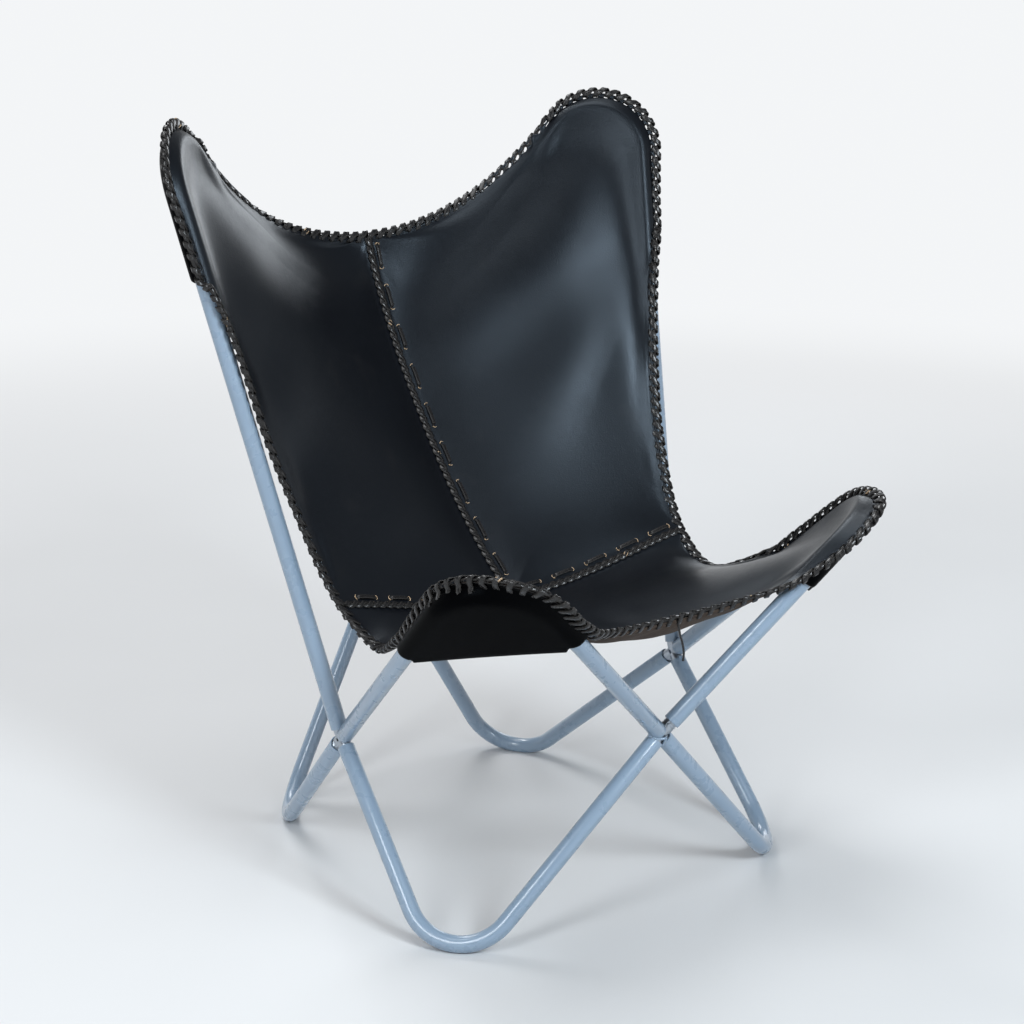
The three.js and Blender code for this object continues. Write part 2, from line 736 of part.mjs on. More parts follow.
// The lacing of a butt seam: a web between the two edges and a flange on each face.
function seamRing(point, across, lean) {
  const [web, wide] = [SEAM_WEB / 2, SEAM_WIDTH / 2];
  const near = LEATHER / 2 + CLEARANCE;
  const far = near + SEAM_FLANGE;
  const half = [[-wide, far], [wide, far], [wide, near], [web, near], [web, -near], [wide, -near]];
  const section = [...half, ...half.map(([x, y]) => [-x, -y])];
  return section.map(([x, y]) => along(along(point, across, x), lean, y));
}

// The rings run from seam place to seam place and stop short of both ends.
function seamLacing(stations, startGap, endGap) {
  const first = stations[0];
  const last = lastOf(stations);
  first.point = along(first.point, towards(first.point, stations[1].point), startGap);
  last.point = along(last.point, towards(last.point, stations[stations.length - 2].point), endGap);
  return loft(stations.map(({ point, way, lean }) => seamRing(point, way, lean)));
}

// The loose end of the lace, hanging under the middle of the front edge.
function laceTail() {
  const { point, outward, lean } = seatEdge[seatEdge.length - 1];
  const exit = along(point, outward, LACE_GAP + LACE_WIDTH / 2);
  exit.addScaledVector(lean, -(LACE_HEIGHT / 2 + TAIL_GAP));
  const route = new THREE.CatmullRomCurve3(TAIL_ROUTE.map((step) => vec(...step).add(exit)));
  const rings = [];
  for (let i = 0; i <= TAIL_STEPS; i += 1) {
    const run = route.getTangent(i / TAIL_STEPS);
    const right = run.clone().cross(vec(0, 1, 0)).normalize();
    const up = right.clone().cross(run);
    rings.push(circle(route.getPoint(i / TAIL_STEPS), right, up, TAIL_DIAMETER / 2, TAIL_SIDES));
  }
  return loft(rings);
}

// The chair, with its origin on the floor below the middle of its box
const chair = new THREE.Group();

function add(name, geometry, color, roughness, metalness) {
  const mesh = new THREE.Mesh(geometry, new THREE.MeshStandardMaterial({ color, roughness, metalness }));
  mesh.name = name;
  chair.add(mesh);
}

function addPair(name, geometry, ...look) {
  add(`${name}_right`, geometry, ...look);
  add(`${name}_left`, mirrored(geometry), ...look);
}

const paint = [FRAME_COLOUR, 0.4, 0];
const steel = [STEEL_COLOUR, 0.45, 1];
const leather = [LEATHER_COLOUR, 0.45, 0];
const lace = [LACE_COLOUR, 0.6, 0];

for (const [name, bend] of Object.entries(bends)) {
  const tube = bentTube(bend, sideCollar, collarB[name]);
  addPair(`${name}_tube`, name.endsWith("foot") ? flattened(tube) : tube, ...paint);
}
addPair("cross_connector", crossConnector(sideCross, sideArms, sideCollar), ...steel);
add("cross_connector_front", crossConnector(frontCross, frontArms, collarB.front_foot), ...steel);
add("cross_connector_back", crossConnector(backCross, backArms, collarB.rear_foot), ...steel);

addPair("back_panel", backPanel, ...leather);
add("seat_panel", seatPanel, ...leather);
addPair("rear_pocket", pocket(rearRim), ...leather);
addPair("front_pocket", pocket(frontRim), ...leather);

const seatLace = seatEdge.map(laceRing);
lastOf(seatLace).forEach((p) => p.setX(LACE_GAP / 2));
addPair("edge_lacing_back", loft(backEdge.map(laceRing)), ...lace);
addPair("edge_lacing_seat", loft(seatLace), ...lace);
const leftStations = sideStations.slice(1).reverse().map(({ point, way, lean }) => {
  return { point: flipX(point), way: flipX(way), lean: flipX(lean) };
});
add("seam_lacing_back", seamLacing(backStations, SEAM_TOP_GAP, SEAM_WIDTH), ...lace);
const seatStations = [...leftStations, ...sideStations];
add("seam_lacing_seat", seamLacing(seatStations, SEAM_SIDE_GAP, SEAM_SIDE_GAP), ...lace);
add("lace_tail", laceTail(), ...lace);

const box = new THREE.Box3().setFromObject(chair);
chair.position.set(0, -(box.min.y + box.max.y) / 2, -box.min.z);
const part = new THREE.Group().add(chair);
export default part;
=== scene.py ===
# %% [markdown]
# # A butterfly sling chair
# Eight bent tubes plug together into a frame with four horns, and a laced leather sling hangs
# from the horns by its corner pockets. This lesson dresses the plain solids of the part. It starts
# with the camera and the loose lace end, then makes the finishes, the frame, the leather and the
# lacing. The chair's lengths are typed in millimetres and become metres when a mesh is made. The
# camera, the lace end, the floor and the lamps are in metres.

import json
import math

import bpy
import numpy as np
from mathutils import Matrix, Vector
from mathutils.bvhtree import BVHTree

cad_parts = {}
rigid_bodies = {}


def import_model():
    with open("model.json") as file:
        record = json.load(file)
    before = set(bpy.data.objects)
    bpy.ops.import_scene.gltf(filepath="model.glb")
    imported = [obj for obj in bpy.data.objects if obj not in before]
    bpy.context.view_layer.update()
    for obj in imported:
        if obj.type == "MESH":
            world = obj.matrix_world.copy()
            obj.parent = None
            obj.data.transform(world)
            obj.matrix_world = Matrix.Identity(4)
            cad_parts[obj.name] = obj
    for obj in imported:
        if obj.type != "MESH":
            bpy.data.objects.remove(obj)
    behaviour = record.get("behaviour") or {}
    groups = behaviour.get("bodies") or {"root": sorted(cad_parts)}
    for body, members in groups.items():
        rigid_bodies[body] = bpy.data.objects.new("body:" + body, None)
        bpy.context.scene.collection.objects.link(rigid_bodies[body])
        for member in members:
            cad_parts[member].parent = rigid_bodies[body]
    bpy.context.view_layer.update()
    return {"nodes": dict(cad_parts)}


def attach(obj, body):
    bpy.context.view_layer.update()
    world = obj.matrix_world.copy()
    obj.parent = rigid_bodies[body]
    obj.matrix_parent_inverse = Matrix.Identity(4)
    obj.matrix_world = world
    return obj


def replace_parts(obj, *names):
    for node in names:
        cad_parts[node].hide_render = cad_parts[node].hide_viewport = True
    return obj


MM = 0.001

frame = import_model()
bpy.context.scene.view_settings.view_transform = "Standard"
print("solids:", len(frame["nodes"]))

# %% [markdown]
# ## The camera
# A long lens from the front left, a little above the seat. The place and the turn were found by
# fitting the frame's crossings and bends, so the drawn frame falls where the pictured one does.

# %% Camera
CAMERA_PLACE = (-1.5281, -1.9874, 1.1347)
AZIMUTH, ELEVATION, ROLL = (math.radians(a) for a in (-37.14, 16.09, 0.25))
LENS = 80.86

aim = Matrix.Rotation(AZIMUTH, 3, "Z") @ Matrix.Rotation(math.pi / 2 - ELEVATION, 3, "X")
aim = aim @ Matrix.Rotation(ROLL, 3, "Z")
bpy.ops.object.camera_add(location=CAMERA_PLACE, rotation=aim.to_euler())
camera = bpy.context.object
camera.data.lens = LENS
bpy.context.scene.camera = camera
print("camera:", CAMERA_PLACE)

# %% [markdown]
# ## The loose lace end
# One thin waxed end of the lace was never tucked in and hangs under the front edge. It is a free
# cord, so it comes before everything else: a curve through a few places, which falls almost
# straight and turns a little at its cut end.

# %% Lace end
TAIL_EXIT = (0, -0.2679, 0.3526)
TAIL_ROUTE = [
    (-0.006, 0, 0),
    (-0.005, -0.002, -0.011),
    (-0.002, -0.003, -0.022),
    (0.001, -0.002, -0.033),
    (0.003, 0.001, -0.043),
]
TAIL_DIAMETER = 0.0026
TAIL_POINTS = 24


def unit(v):
    return v / np.linalg.norm(v, axis=-1, keepdims=True)


def through(knots, t, even=False):
    """Places on a smooth curve through knots, for t from 0 to 1."""
    knots = np.array(knots, float)
    ends = (knots[:1], knots[-1:])
    if not even:
        ends = (2 * knots[:1] - knots[1:2], 2 * knots[-1:] - knots[-2:-1])
    around = np.vstack([ends[0], knots, ends[1]])
    reach = np.asarray(t, float) * (len(knots) - 1)
    span = np.clip(reach.astype(int), 0, len(knots) - 2)
    x = (reach - span)[..., None]
    p0, p1, p2, p3 = (around[span + k] for k in range(4))
    gap = [np.ones_like(x)] * 3
    if not even:
        spans = (p1 - p0, p2 - p1, p3 - p2)
        gap = [np.sqrt(np.linalg.norm(d, axis=-1, keepdims=True)) for d in spans]
    leave = (p1 - p0) / gap[0] - (p2 - p0) / (gap[0] + gap[1]) + (p2 - p1) / gap[1]
    arrive = (p2 - p1) / gap[1] - (p3 - p1) / (gap[1] + gap[2]) + (p3 - p2) / gap[2]
    if even:
        leave, arrive = (p2 - p0) / 2, (p3 - p1) / 2
    m1, m2 = leave * gap[1], arrive * gap[1]
    c2, c3 = -3 * p1 + 3 * p2 - 2 * m1 - m2, 2 * p1 - 2 * p2 + m1 + m2
    return p1 + m1 * x + c2 * x**2 + c3 * x**3


def lengths_along(points):
    """Length of a line up to each of its points."""
    steps = np.linalg.norm(np.diff(points, axis=0), axis=1)
    return np.concatenate([[0], np.cumsum(steps)])


def length_of(points):
    """Length of a line through points."""
    return float(np.linalg.norm(np.diff(points, axis=0), axis=1).sum())


# %% Its curve
ROUND_STEPS = 3


def round_line(name, line, radius):
    """A curve through points with a round section and closed ends."""
    curve = bpy.data.curves.new(name, "CURVE")
    curve.dimensions, curve.use_fill_caps = "3D", True
    curve.bevel_depth, curve.bevel_resolution = radius, ROUND_STEPS
    spline = curve.splines.new("POLY")
    spline.points.add(len(line) - 1)
    for knot, place in zip(spline.points, line):
        knot.co = (*place, 1)
    made = bpy.data.objects.new(name, curve)
    bpy.context.scene.collection.objects.link(made)
    return made


tail_line = np.array(TAIL_EXIT) + through(TAIL_ROUTE, np.linspace(0, 1, TAIL_POINTS))
lace_end = round_line("lace_end", tail_line, TAIL_DIAMETER / 2)
print("lace end:", round(length_of(tail_line), 4), "m")

# %% [markdown]
# ## A small language for finishes
# A finish is a Principled shader with a few texture nodes in front of it. Wire wraps one socket,
# so that a plus or a times after it adds a Math node, and Finish.node adds every other node.


# %% Wire
class Wire:
    """A socket that adds a Math node when it is added to or multiplied."""

    def __init__(self, finish, socket):
        self.finish, self.socket = finish, socket

    def maths(self, operation, other):
        return self.finish.node("ShaderNodeMath", {"operation": operation}, {0: self, 1: other})

    def __add__(self, other):
        return self.maths("ADD", other)

    def __mul__(self, other):
        return self.maths("MULTIPLY", other)


# %% Finish
class Finish:
    """A named material under construction."""

    def __init__(self, name, **constants):
        self.material = bpy.data.materials.new(name)
        self.material.use_nodes = True
        self.tree = self.material.node_tree
        self.shader = self.tree.nodes["Principled BSDF"]
        self.place = self.node("ShaderNodeTexCoord", output="Object")
        self.shade({key.replace("_", " "): value for key, value in constants.items()})

    def feed(self, socket, value):
        if isinstance(value, Wire):
            self.tree.links.new(value.socket, socket)
        else:
            socket.default_value = value

    def node(self, kind, settings=None, sockets=None, output=0):
        made = self.tree.nodes.new(kind)
        for name, value in (settings or {}).items():
            setattr(made, name, value)
        for name, value in (sockets or {}).items():
            self.feed(made.inputs[name], value)
        return Wire(self, made.outputs[output])

    def shade(self, inputs):
        for name, value in inputs.items():
            self.feed(self.shader.inputs[name], value)

    def noise(self, scale, detail, stretch=None):
        place = self.place
        if stretch:
            place = self.node("ShaderNodeMapping", sockets={"Vector": place, "Scale": stretch})
        sockets = {"Vector": place, "Scale": scale, "Detail": detail}
        return self.node("ShaderNodeTexNoise", sockets=sockets)

    def cells(self, scale):
        sockets = {"Vector": self.place, "Scale": scale}
        return self.node("ShaderNodeTexVoronoi", sockets=sockets)

    def mask(self, wire, low, high):
        """Black up to low, white from high on."""
        made = self.node("ShaderNodeValToRGB", sockets={"Fac": wire})
        for stop, at in zip(made.socket.node.color_ramp.elements, (low, high)):
            stop.position = at
        return made

    def mix(self, share, first, second):
        """From the first colour to the second."""
        sockets = {"Factor": share, 6: (*first, 1), 7: (*second, 1)}
        return self.node("ShaderNodeMix", {"data_type": "RGBA"}, sockets, output=2)

    def bump(self, height, depth, strength):
        sockets = {"Height": height, "Distance": depth, "Strength": strength}
        self.shade({"Normal": self.node("ShaderNodeBump", sockets=sockets)})


# %% [markdown]
# ## Powder coat and steel
# The tubes have a light blue-grey powder coat: half glossy, with a fine orange-peel skin and a few
# rubbed places. One rough gloss alone would look like chalk, so a clear coat lies over it and
# carries the sharp highlight along each tube. The spigots in the crossings are bare drawn steel.

# %% Powder coat and steel
paint = Finish("powder_coat", IOR=1.5, Coat_Weight=0.6, Coat_Roughness=0.14)
peel = paint.noise(700, 2)
rubbed = paint.mask(paint.noise(9, 5), 0.52, 0.78)
paint.shade({"Base Color": paint.mix(rubbed * 0.15, (0.262, 0.355, 0.465), (0.22, 0.295, 0.385))})
paint.shade({"Roughness": paint.noise(60, 4) * 0.08 + 0.24})
paint.bump(peel, 0.0002, 0.14)

steel = Finish("bare_steel", Metallic=1.0)
drawn = steel.noise(900, 2)
steel.shade({"Base Color": steel.mix(drawn, (0.3, 0.34, 0.39), (0.46, 0.5, 0.55))})
steel.shade({"Roughness": drawn * 0.2 + 0.22})
steel.bump(drawn, 0.0001, 0.3)

# %% [markdown]
# ## Leather and lace
# The sling is black full grain leather with an uneven wax haze, so its gloss is patchy and soft;
# the cool blue of that gloss is painted light, a tint on its reflections for the cool window lamp.
# Pores and wrinkles are too fine for geometry and become bump. The pockets get a darker, duller
# copy
# of the leather: painted shade, for faces that hang in shadow under the horns. Flesh side and cut
# edges stay brown, which lets each strip of lace be told from the next. A few cut sides of the
# lace, and the lips of the punched holes, show raw tan.

# %% Leather
# Painted light: a blue tint on the leather's reflections, standing in for the cool window lamp.
WINDOW_LIGHT_TINT = (0.72, 0.86, 1, 1)


def hide(name, sheen, dark, worn):
    """Black full grain leather: pores, patches of fine wrinkles and an uneven wax haze."""
    made = Finish(name, IOR=1.45, Specular_IOR_Level=sheen, Specular_Tint=WINDOW_LIGHT_TINT)
    patches = made.mask(made.noise(6, 2), 0.5, 0.68)
    wrinkles = made.noise(95, 3, stretch=(1, 1, 0.35)) * patches
    grain = made.cells(850) * 0.6 + made.noise(420, 4) * 0.8 + wrinkles * 1.6
    rubbed = made.mask(made.noise(26, 8), 0.6, 0.82)
    made.shade({"Base Color": made.mix(rubbed * 0.5, dark, worn)})
    made.shade({"Roughness": made.noise(8, 6) * 0.24 + made.noise(190, 4) * 0.1 + 0.19})
    made.bump(grain, 0.00035, 0.3)
    return made


leather = hide("black_leather", 0.4, (0.0038, 0.0045, 0.0064), (0.011, 0.0108, 0.0118))
# Painted shade: a darker, duller copy of the leather for the pockets, whose faces hang in shadow.
shaded_pocket_leather = hide("shaded_pocket_leather", 0.02, (0.0008, 0.0008, 0.001), (0.002, 0.002, 0.0022))

# %% Flesh side, lace and cut edges
flesh = Finish("flesh_side", Roughness=0.92)
nap = flesh.noise(260, 8)
flesh.shade({"Base Color": flesh.mix(nap, (0.022, 0.015, 0.011), (0.075, 0.05, 0.035))})
flesh.bump(nap, 0.0006, 0.6)

lace = Finish("lace_leather", IOR=1.5, Specular_IOR_Level=0.5)
fibre = lace.noise(500, 5)
lace.shade({"Base Color": lace.mix(fibre, (0.003, 0.0032, 0.0038), (0.01, 0.0095, 0.01))})
lace.shade({"Roughness": fibre * 0.24 + 0.16})
lace.bump(fibre, 0.0003, 0.4)

cut = Finish("cut_edge", Roughness=0.7)
strands = cut.noise(700, 6)
cut.shade({"Base Color": cut.mix(strands, (0.003, 0.0028, 0.0027), (0.016, 0.013, 0.0115))})
cut.bump(strands, 0.0003, 0.5)

# Painted shade: a dark plug stands in each punched hole, in place of the shade inside it.
hole_shade_finish = Finish("hole_shade", Roughness=0.95)
shade_mottle = hole_shade_finish.noise(800, 4)
hole_shade_finish.shade({"Base Color": hole_shade_finish.mix(shade_mottle, (0.0015, 0.0015, 0.0015), (0.006, 0.005, 0.0045))})

tan = Finish("raw_tan", Roughness=0.75)
raw = tan.noise(600, 5)
tan.shade({"Base Color": tan.mix(raw, (0.25, 0.15, 0.08), (0.6, 0.46, 0.31))})
tan.bump(raw, 0.0003, 0.4)

lace_end.data.materials.append(lace.material)
print("finishes:", len(bpy.data.materials))

# %% [markdown]
# ## Floor and backdrop
# A pale floor reaches to a low round wall far away. A plain floor alone would end in a horizon, so
# away from the chair both glow in one pale colour, but only for the camera and for reflections:
# the chair gets no light from it, and its shadow on the floor stays.

# %% Floor and backdrop
FLOOR_SIZE, FLOOR_DROP = 60, 0.0002
WALL_RADIUS, WALL_HEIGHT, WALL_SIDES = 28, 8, 96
BACKDROP = (0.9, 0.915, 0.93, 1)
GLOW_START, GLOW_FULL = 0.9, 3.4

ground = Finish("pale_floor", Roughness=0.8)
shade = ground.mix(ground.noise(3, 2), (0.7, 0.705, 0.71), (0.73, 0.735, 0.74))
ground.shade({"Base Color": shade})
away = ground.node(
    "ShaderNodeVectorMath", {"operation": "LENGTH"}, {0: ground.place}, output="Value"
)
far = ground.node(
    "ShaderNodeMapRange",
    {"interpolation_type": "SMOOTHSTEP"},
    {"Value": away, "From Min": GLOW_START, "From Max": GLOW_FULL},
)
path = ground.node("ShaderNodeLightPath", output="Is Camera Ray")
rays = path.socket.node.outputs
seen = path + Wire(ground, rays["Is Glossy Ray"]) + Wire(ground, rays["Is Transmission Ray"])
clamped = {"operation": "MULTIPLY", "use_clamp": True}
share = ground.node("ShaderNodeMath", clamped, {0: seen, 1: far})
glow = ground.node("ShaderNodeEmission", sockets={"Color": BACKDROP, "Strength": 1})
body = Wire(ground, ground.shader.outputs[0])
blend = ground.node("ShaderNodeMixShader", sockets={0: share, 1: body, 2: glow})
ground.feed(ground.tree.nodes["Material Output"].inputs["Surface"], blend)

bpy.ops.object.select_all(action="DESELECT")
bpy.ops.mesh.primitive_plane_add(size=FLOOR_SIZE, location=(0, 0, -FLOOR_DROP))
floor = bpy.context.object
floor.name = "floor"
bpy.ops.object.select_all(action="DESELECT")
bpy.ops.mesh.primitive_cylinder_add(
    vertices=WALL_SIDES,
    radius=WALL_RADIUS,
    depth=WALL_HEIGHT,
    end_fill_type="NOTHING",
    location=(0, 0, WALL_HEIGHT / 2),
)
wall = bpy.context.object
wall.name = "backdrop"
bpy.ops.object.transform_apply(location=True, rotation=True, scale=True)
for stand in (floor, wall):
    stand.data.materials.append(ground.material)
print("floor:", FLOOR_SIZE, "m, backdrop at", WALL_RADIUS, "m")

# %% [markdown]
# ## Light
# Black leather shows its shape only by what it mirrors, so each lamp is placed for one sheen: the
# window in front for the right of the back, the back window for the seat and the front horns, the
# side window for the upper left corner. The key from above and the left window light the tubes.
# All are large and soft, and the world fills the shadows a little.

# %% Lamps and world
LAMPS = {
    "key": ((-0.4, 0.4, 3.6), (0, 0, 0.3), (2, 2), 46, (0.98, 0.99, 1)),
    "window": ((0, -2.5, 2), (0.2, 0.1, 0.55), (0.8, 0.8), 54, (0.86, 0.94, 1)),
    "side_window": ((2.1, 1.5, 1.2), (-0.3, 0.2, 0.75), (0.8, 1.1), 8.5, (0.9, 0.95, 1)),
    "left_window": ((-2.5, -0.9, 1.9), (0, -0.1, 0.35), (0.7, 1.4), 33, (0.93, 0.97, 1)),
    "back_window": ((0.35, 2.3, 2.8), (0.2, -0.2, 0.45), (1.4, 0.9), 38, (0.97, 0.985, 1)),
}
FILL = ((0.95, 0.97, 1, 1), 0.22)

for name, (place, target, size, watts, colour) in LAMPS.items():
    bpy.ops.object.light_add(type="AREA", location=place)
    lamp = bpy.context.object
    lamp.name = name
    lamp.data.shape = "RECTANGLE"
    lamp.data.size, lamp.data.size_y = size
    lamp.data.energy, lamp.data.color = watts, colour
    facing = Vector(target) - Vector(place)
    lamp.rotation_euler = facing.to_track_quat("-Z", "Y").to_euler()
world = bpy.data.worlds.new("studio")
bpy.context.scene.world = world
world.use_nodes = True
fill = world.node_tree.nodes["Background"]
fill.inputs["Color"].default_value, fill.inputs["Strength"].default_value = FILL
print("lamps:", len(LAMPS))

# %% [markdown]
# ## The lines of the frame
# Each tube is two straight arms and a round bend. Only the bend's tip and the two crossings are
# known, so the corner where the arms would meet is moved until the tip falls in its place.

# %% Bends
TUBE_RADIUS = 9.5
TUBE_WALL = 1.5
BEND_RADIUS = 62
REAR_HORN_RADIUS = 58
FOOT_FLAT = 0.8
SIDE_CROSSING = (242, 0, 188)
FRONT_CROSSING = (0, -256, 218)
BACK_CROSSING = (0, 285, 278)
TIPS = {
    "front_foot": (226, -188, TUBE_RADIUS - FOOT_FLAT),
    "rear_foot": (167, 237, TUBE_RADIUS - FOOT_FLAT),
    "front_horn": (254, -295, 435),
    "rear_horn": (299.3, 227, 822.7),
}
JUNCTION = np.array((0, 8, 302.0))
SITTER = np.array((0, -248, 822.7))
CHAIR_SHIFT = np.array((0, 19.472, 0))
CORNER_ROUNDS = 400


def placed(points):
    """Metres in the part's frame, from millimetres in the frame the chair was drawn in."""
    return (np.asarray(points, float) + CHAIR_SHIFT) * MM


class Bend:
    """A bent tube's centre line. Lengths along it count from the tip, towards arm 0."""

    def __init__(self, tip, radius, ends, inside):
        self.radius = radius
        self.ends, tip = np.array(ends, float), np.array(tip, float)
        corner = tip.copy()
        for _ in range(CORNER_ROUNDS):
            self.solve(corner)
            corner = corner + tip - self.tip
        self.normal = unit(np.cross(*self.arms))
        if self.normal @ (inside - tip) < 0:
            self.normal = -self.normal

    def solve(self, corner):
        self.arms = unit(self.ends - corner)
        half = math.acos(float(self.arms[0] @ self.arms[1])) / 2
        self.sweep = math.pi / 2 - half
        self.axis = unit(self.arms[0] + self.arms[1])
        self.side = unit(self.arms[0] - self.arms[1])
        self.centre = corner + self.axis * self.radius / math.sin(half)
        self.tip = self.centre - self.axis * self.radius
        straight = np.linalg.norm(self.ends - corner, axis=1) - self.radius / math.tan(half)
        self.curved = self.radius * self.sweep
        self.reach = straight + self.curved

    def station(self, along):
        """Centre and outward direction at lengths along the tube."""
        along = np.asarray(along, float)[..., None]
        on_bend = np.clip(along, -self.curved, self.curved)
        angle = on_bend / self.radius
        out = np.sin(angle) * self.side - np.cos(angle) * self.axis
        arm = np.where(along > 0, self.arms[0], self.arms[1])
        return self.centre + self.radius * out + np.abs(along - on_bend) * arm, out

    def lifted(self, points, radius):
        """Points moved off the tube, to the sitter's side, where they would cut into it."""
        d = points - self.centre
        height = d @ self.normal
        turn = np.arctan2(d @ self.side, -(d @ self.axis))
        edge = np.clip(turn, -self.sweep, self.sweep)[..., None]
        out = np.sum(d * (np.sin(edge) * self.side - np.cos(edge) * self.axis), -1) - self.radius
        least = np.sqrt(np.maximum(0, radius**2 - out**2))
        near = (np.abs(out) < radius) & (height > -radius)
        return points + np.where(near, np.maximum(0, least - height), 0)[..., None] * self.normal


ENDS = {"front": FRONT_CROSSING, "rear": BACK_CROSSING}
bends = {}
for name, tip in TIPS.items():
    inside = JUNCTION if name.endswith("foot") else SITTER
    radius = REAR_HORN_RADIUS if name == "rear_horn" else BEND_RADIUS
    bends[name] = Bend(tip, radius, (SIDE_CROSSING, ENDS[name.split("_")[0]]), inside)
    print(name, "arms", np.round(bends[name].reach, 1))

# %% [markdown]
# ## Bending the tubes
# A tube is drawn as it is bent: a ring at one end is extruded down the first arm, spun round the
# bend and extruded down the other arm, then Solidify gives it its wall. The left tubes are the
# right ones mirrored, apart from how near to the crossing each end stops.

# %% Tubes
ARM_SIGNS = (1, -1)
WELD_DISTANCE = 1e-6
SMOOTH_ANGLE, RIM_ANGLE = math.radians(35), math.radians(60)
TUBE_SIDES = 40
BEND_STEPS = 26
RIM_BEVEL = 0.35
END_GAPS = {
    "front_foot_right": (11, 6),
    "front_foot_left": (10, 8),
    "rear_foot_right": (12, 13),
    "rear_foot_left": (17, 13),
    "front_horn_right": (9, 17),
    "front_horn_left": (8, 6),
    "rear_horn_right": (12, 24),
    "rear_horn_left": (12, 24),
}


def select_only(obj):
    bpy.ops.object.select_all(action="DESELECT")
    obj.select_set(True)
    bpy.context.view_layer.objects.active = obj


def finish_mesh(obj, *modifiers):
    """Applies modifiers in turn and puts the object's place into its mesh."""
    select_only(obj)
    for kind, settings in modifiers:
        modifier = obj.modifiers.new(kind.lower(), kind)
        for name, value in settings.items():
            setattr(modifier, name, value)
        bpy.ops.object.modifier_apply(modifier=modifier.name)
    bpy.ops.object.transform_apply(location=True, rotation=True, scale=True)


def weld(distance):
    """Joins the corners of the mesh being edited, turns its faces outward and leaves it."""
    bpy.ops.mesh.select_all(action="SELECT")
    bpy.ops.mesh.remove_doubles(threshold=distance)
    bpy.ops.mesh.normals_make_consistent(inside=False)
    bpy.ops.object.mode_set(mode="OBJECT")


def flip(points, left):
    """Points as they are, or mirrored to the left side."""
    return np.asarray(points) * ((-1, 1, 1) if left else (1, 1, 1))


# %% One tube
def bent_tube(name, bend, gaps, left):
    """A tube with its wall, from one crossing round its bend to the other."""
    stops = [sign * (reach - gap) for sign, reach, gap in zip(ARM_SIGNS, bend.reach, gaps)]
    ends = [flip(bend.station(stop)[0], left) for stop in stops]
    starts = [flip(bend.station(sign * bend.curved)[0], left) for sign in ARM_SIGNS]
    arm = Vector(ends[0] - starts[0])
    bpy.ops.object.select_all(action="DESELECT")
    bpy.ops.mesh.primitive_circle_add(
        vertices=TUBE_SIDES,
        radius=TUBE_RADIUS * MM,
        location=placed(ends[0]),
        rotation=arm.to_track_quat("Z", "Y").to_euler(),
    )
    tube = bpy.context.object
    tube.name = tube.data.name = name
    bpy.ops.object.transform_apply(location=True, rotation=True, scale=True)
    axis = Vector(flip(np.cross(bend.arms[0], bend.arms[1]), left)).normalized()
    bpy.ops.object.mode_set(mode="EDIT")
    bpy.ops.mesh.select_all(action="SELECT")
    bpy.ops.mesh.extrude_region_move(TRANSFORM_OT_translate={"value": -arm * MM})
    centre = Vector(placed(flip(bend.centre, left)))
    turn = 2 * bend.sweep * (-1 if left else 1)
    bpy.ops.mesh.spin(steps=BEND_STEPS, angle=turn, center=centre, axis=axis)
    arm = Vector(ends[1] - starts[1])
    bpy.ops.mesh.extrude_region_move(TRANSFORM_OT_translate={"value": arm * MM})
    weld(WELD_DISTANCE)
    wall = ("SOLIDIFY", {"thickness": TUBE_WALL * MM, "offset": -1})
    rim = ("BEVEL", {"width": RIM_BEVEL * MM, "segments": 2, "angle_limit": RIM_ANGLE})
    finish_mesh(tube, wall, rim)
    for vertex in tube.data.vertices:
        vertex.co.z = max(0, vertex.co.z)
    bpy.ops.object.shade_smooth_by_angle(angle=SMOOTH_ANGLE)
    tube.data.materials.append(paint.material)
    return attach(tube, "root")


for name, bend in bends.items():
    for side in ("right", "left"):
        tube = bent_tube(f"{name}_{side}", bend, END_GAPS[f"{name}_{side}"], side == "left")
        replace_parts(tube, f"{name}_tube_{side}")
        print(tube.name, len(tube.data.polygons), "faces")

# %% [markdown]
# ## The lines of the sling
# The leather's edge runs from the middle of the top round the rear horn, down the side, round the
# front horn and to the middle of the front. It could be drawn as one free curve, but then it would
# not follow the tubes: so round a horn it keeps set distances from the tube, and only between the
# horns it is a plain curve. Only the right half is worked out, and the left half is its mirror.

# %% Sizes of the edge
LEATHER = 2.4
CLEARANCE = 0.3
FOLD_SLACK = 1.2
LACE_RISE, LACE_SLACK = 4.25, 2.2
DRAPE_RADIUS = TUBE_RADIUS + CLEARANCE + LEATHER / 2 + FOLD_SLACK
LACE_DRAPE_RADIUS = TUBE_RADIUS + CLEARANCE + LACE_RISE + LACE_SLACK
LAYER_OFFSET = (LEATHER + CLEARANCE) / 2
SEAM_HALF_GAP = 0.2
SEAM_FLAT = 6
EDGE_FADE = 0.45
TURN_SPREAD = 2.5
LINE_STEP = 2
FOLD_RADIUS = 12.9
FLANGE = 5
WRAP_COLUMNS = 8
HOLE_SPREAD = (-3, -1.6, 1.6, 3)
HOLE_MARGIN_LENGTH = 4
FREE_HOLE, REAR_RIM_HOLE = 6.9, 4.9
POCKET_HOLE = {"back": 1, "seat": 1.8}
REAR_NUMBERS, BACK_LAST, BACK_TURN = (6, 18), 28, 19
FRONT_NUMBERS, SEAT_LAST, SEAT_TURN = (6, 21), 27, 9

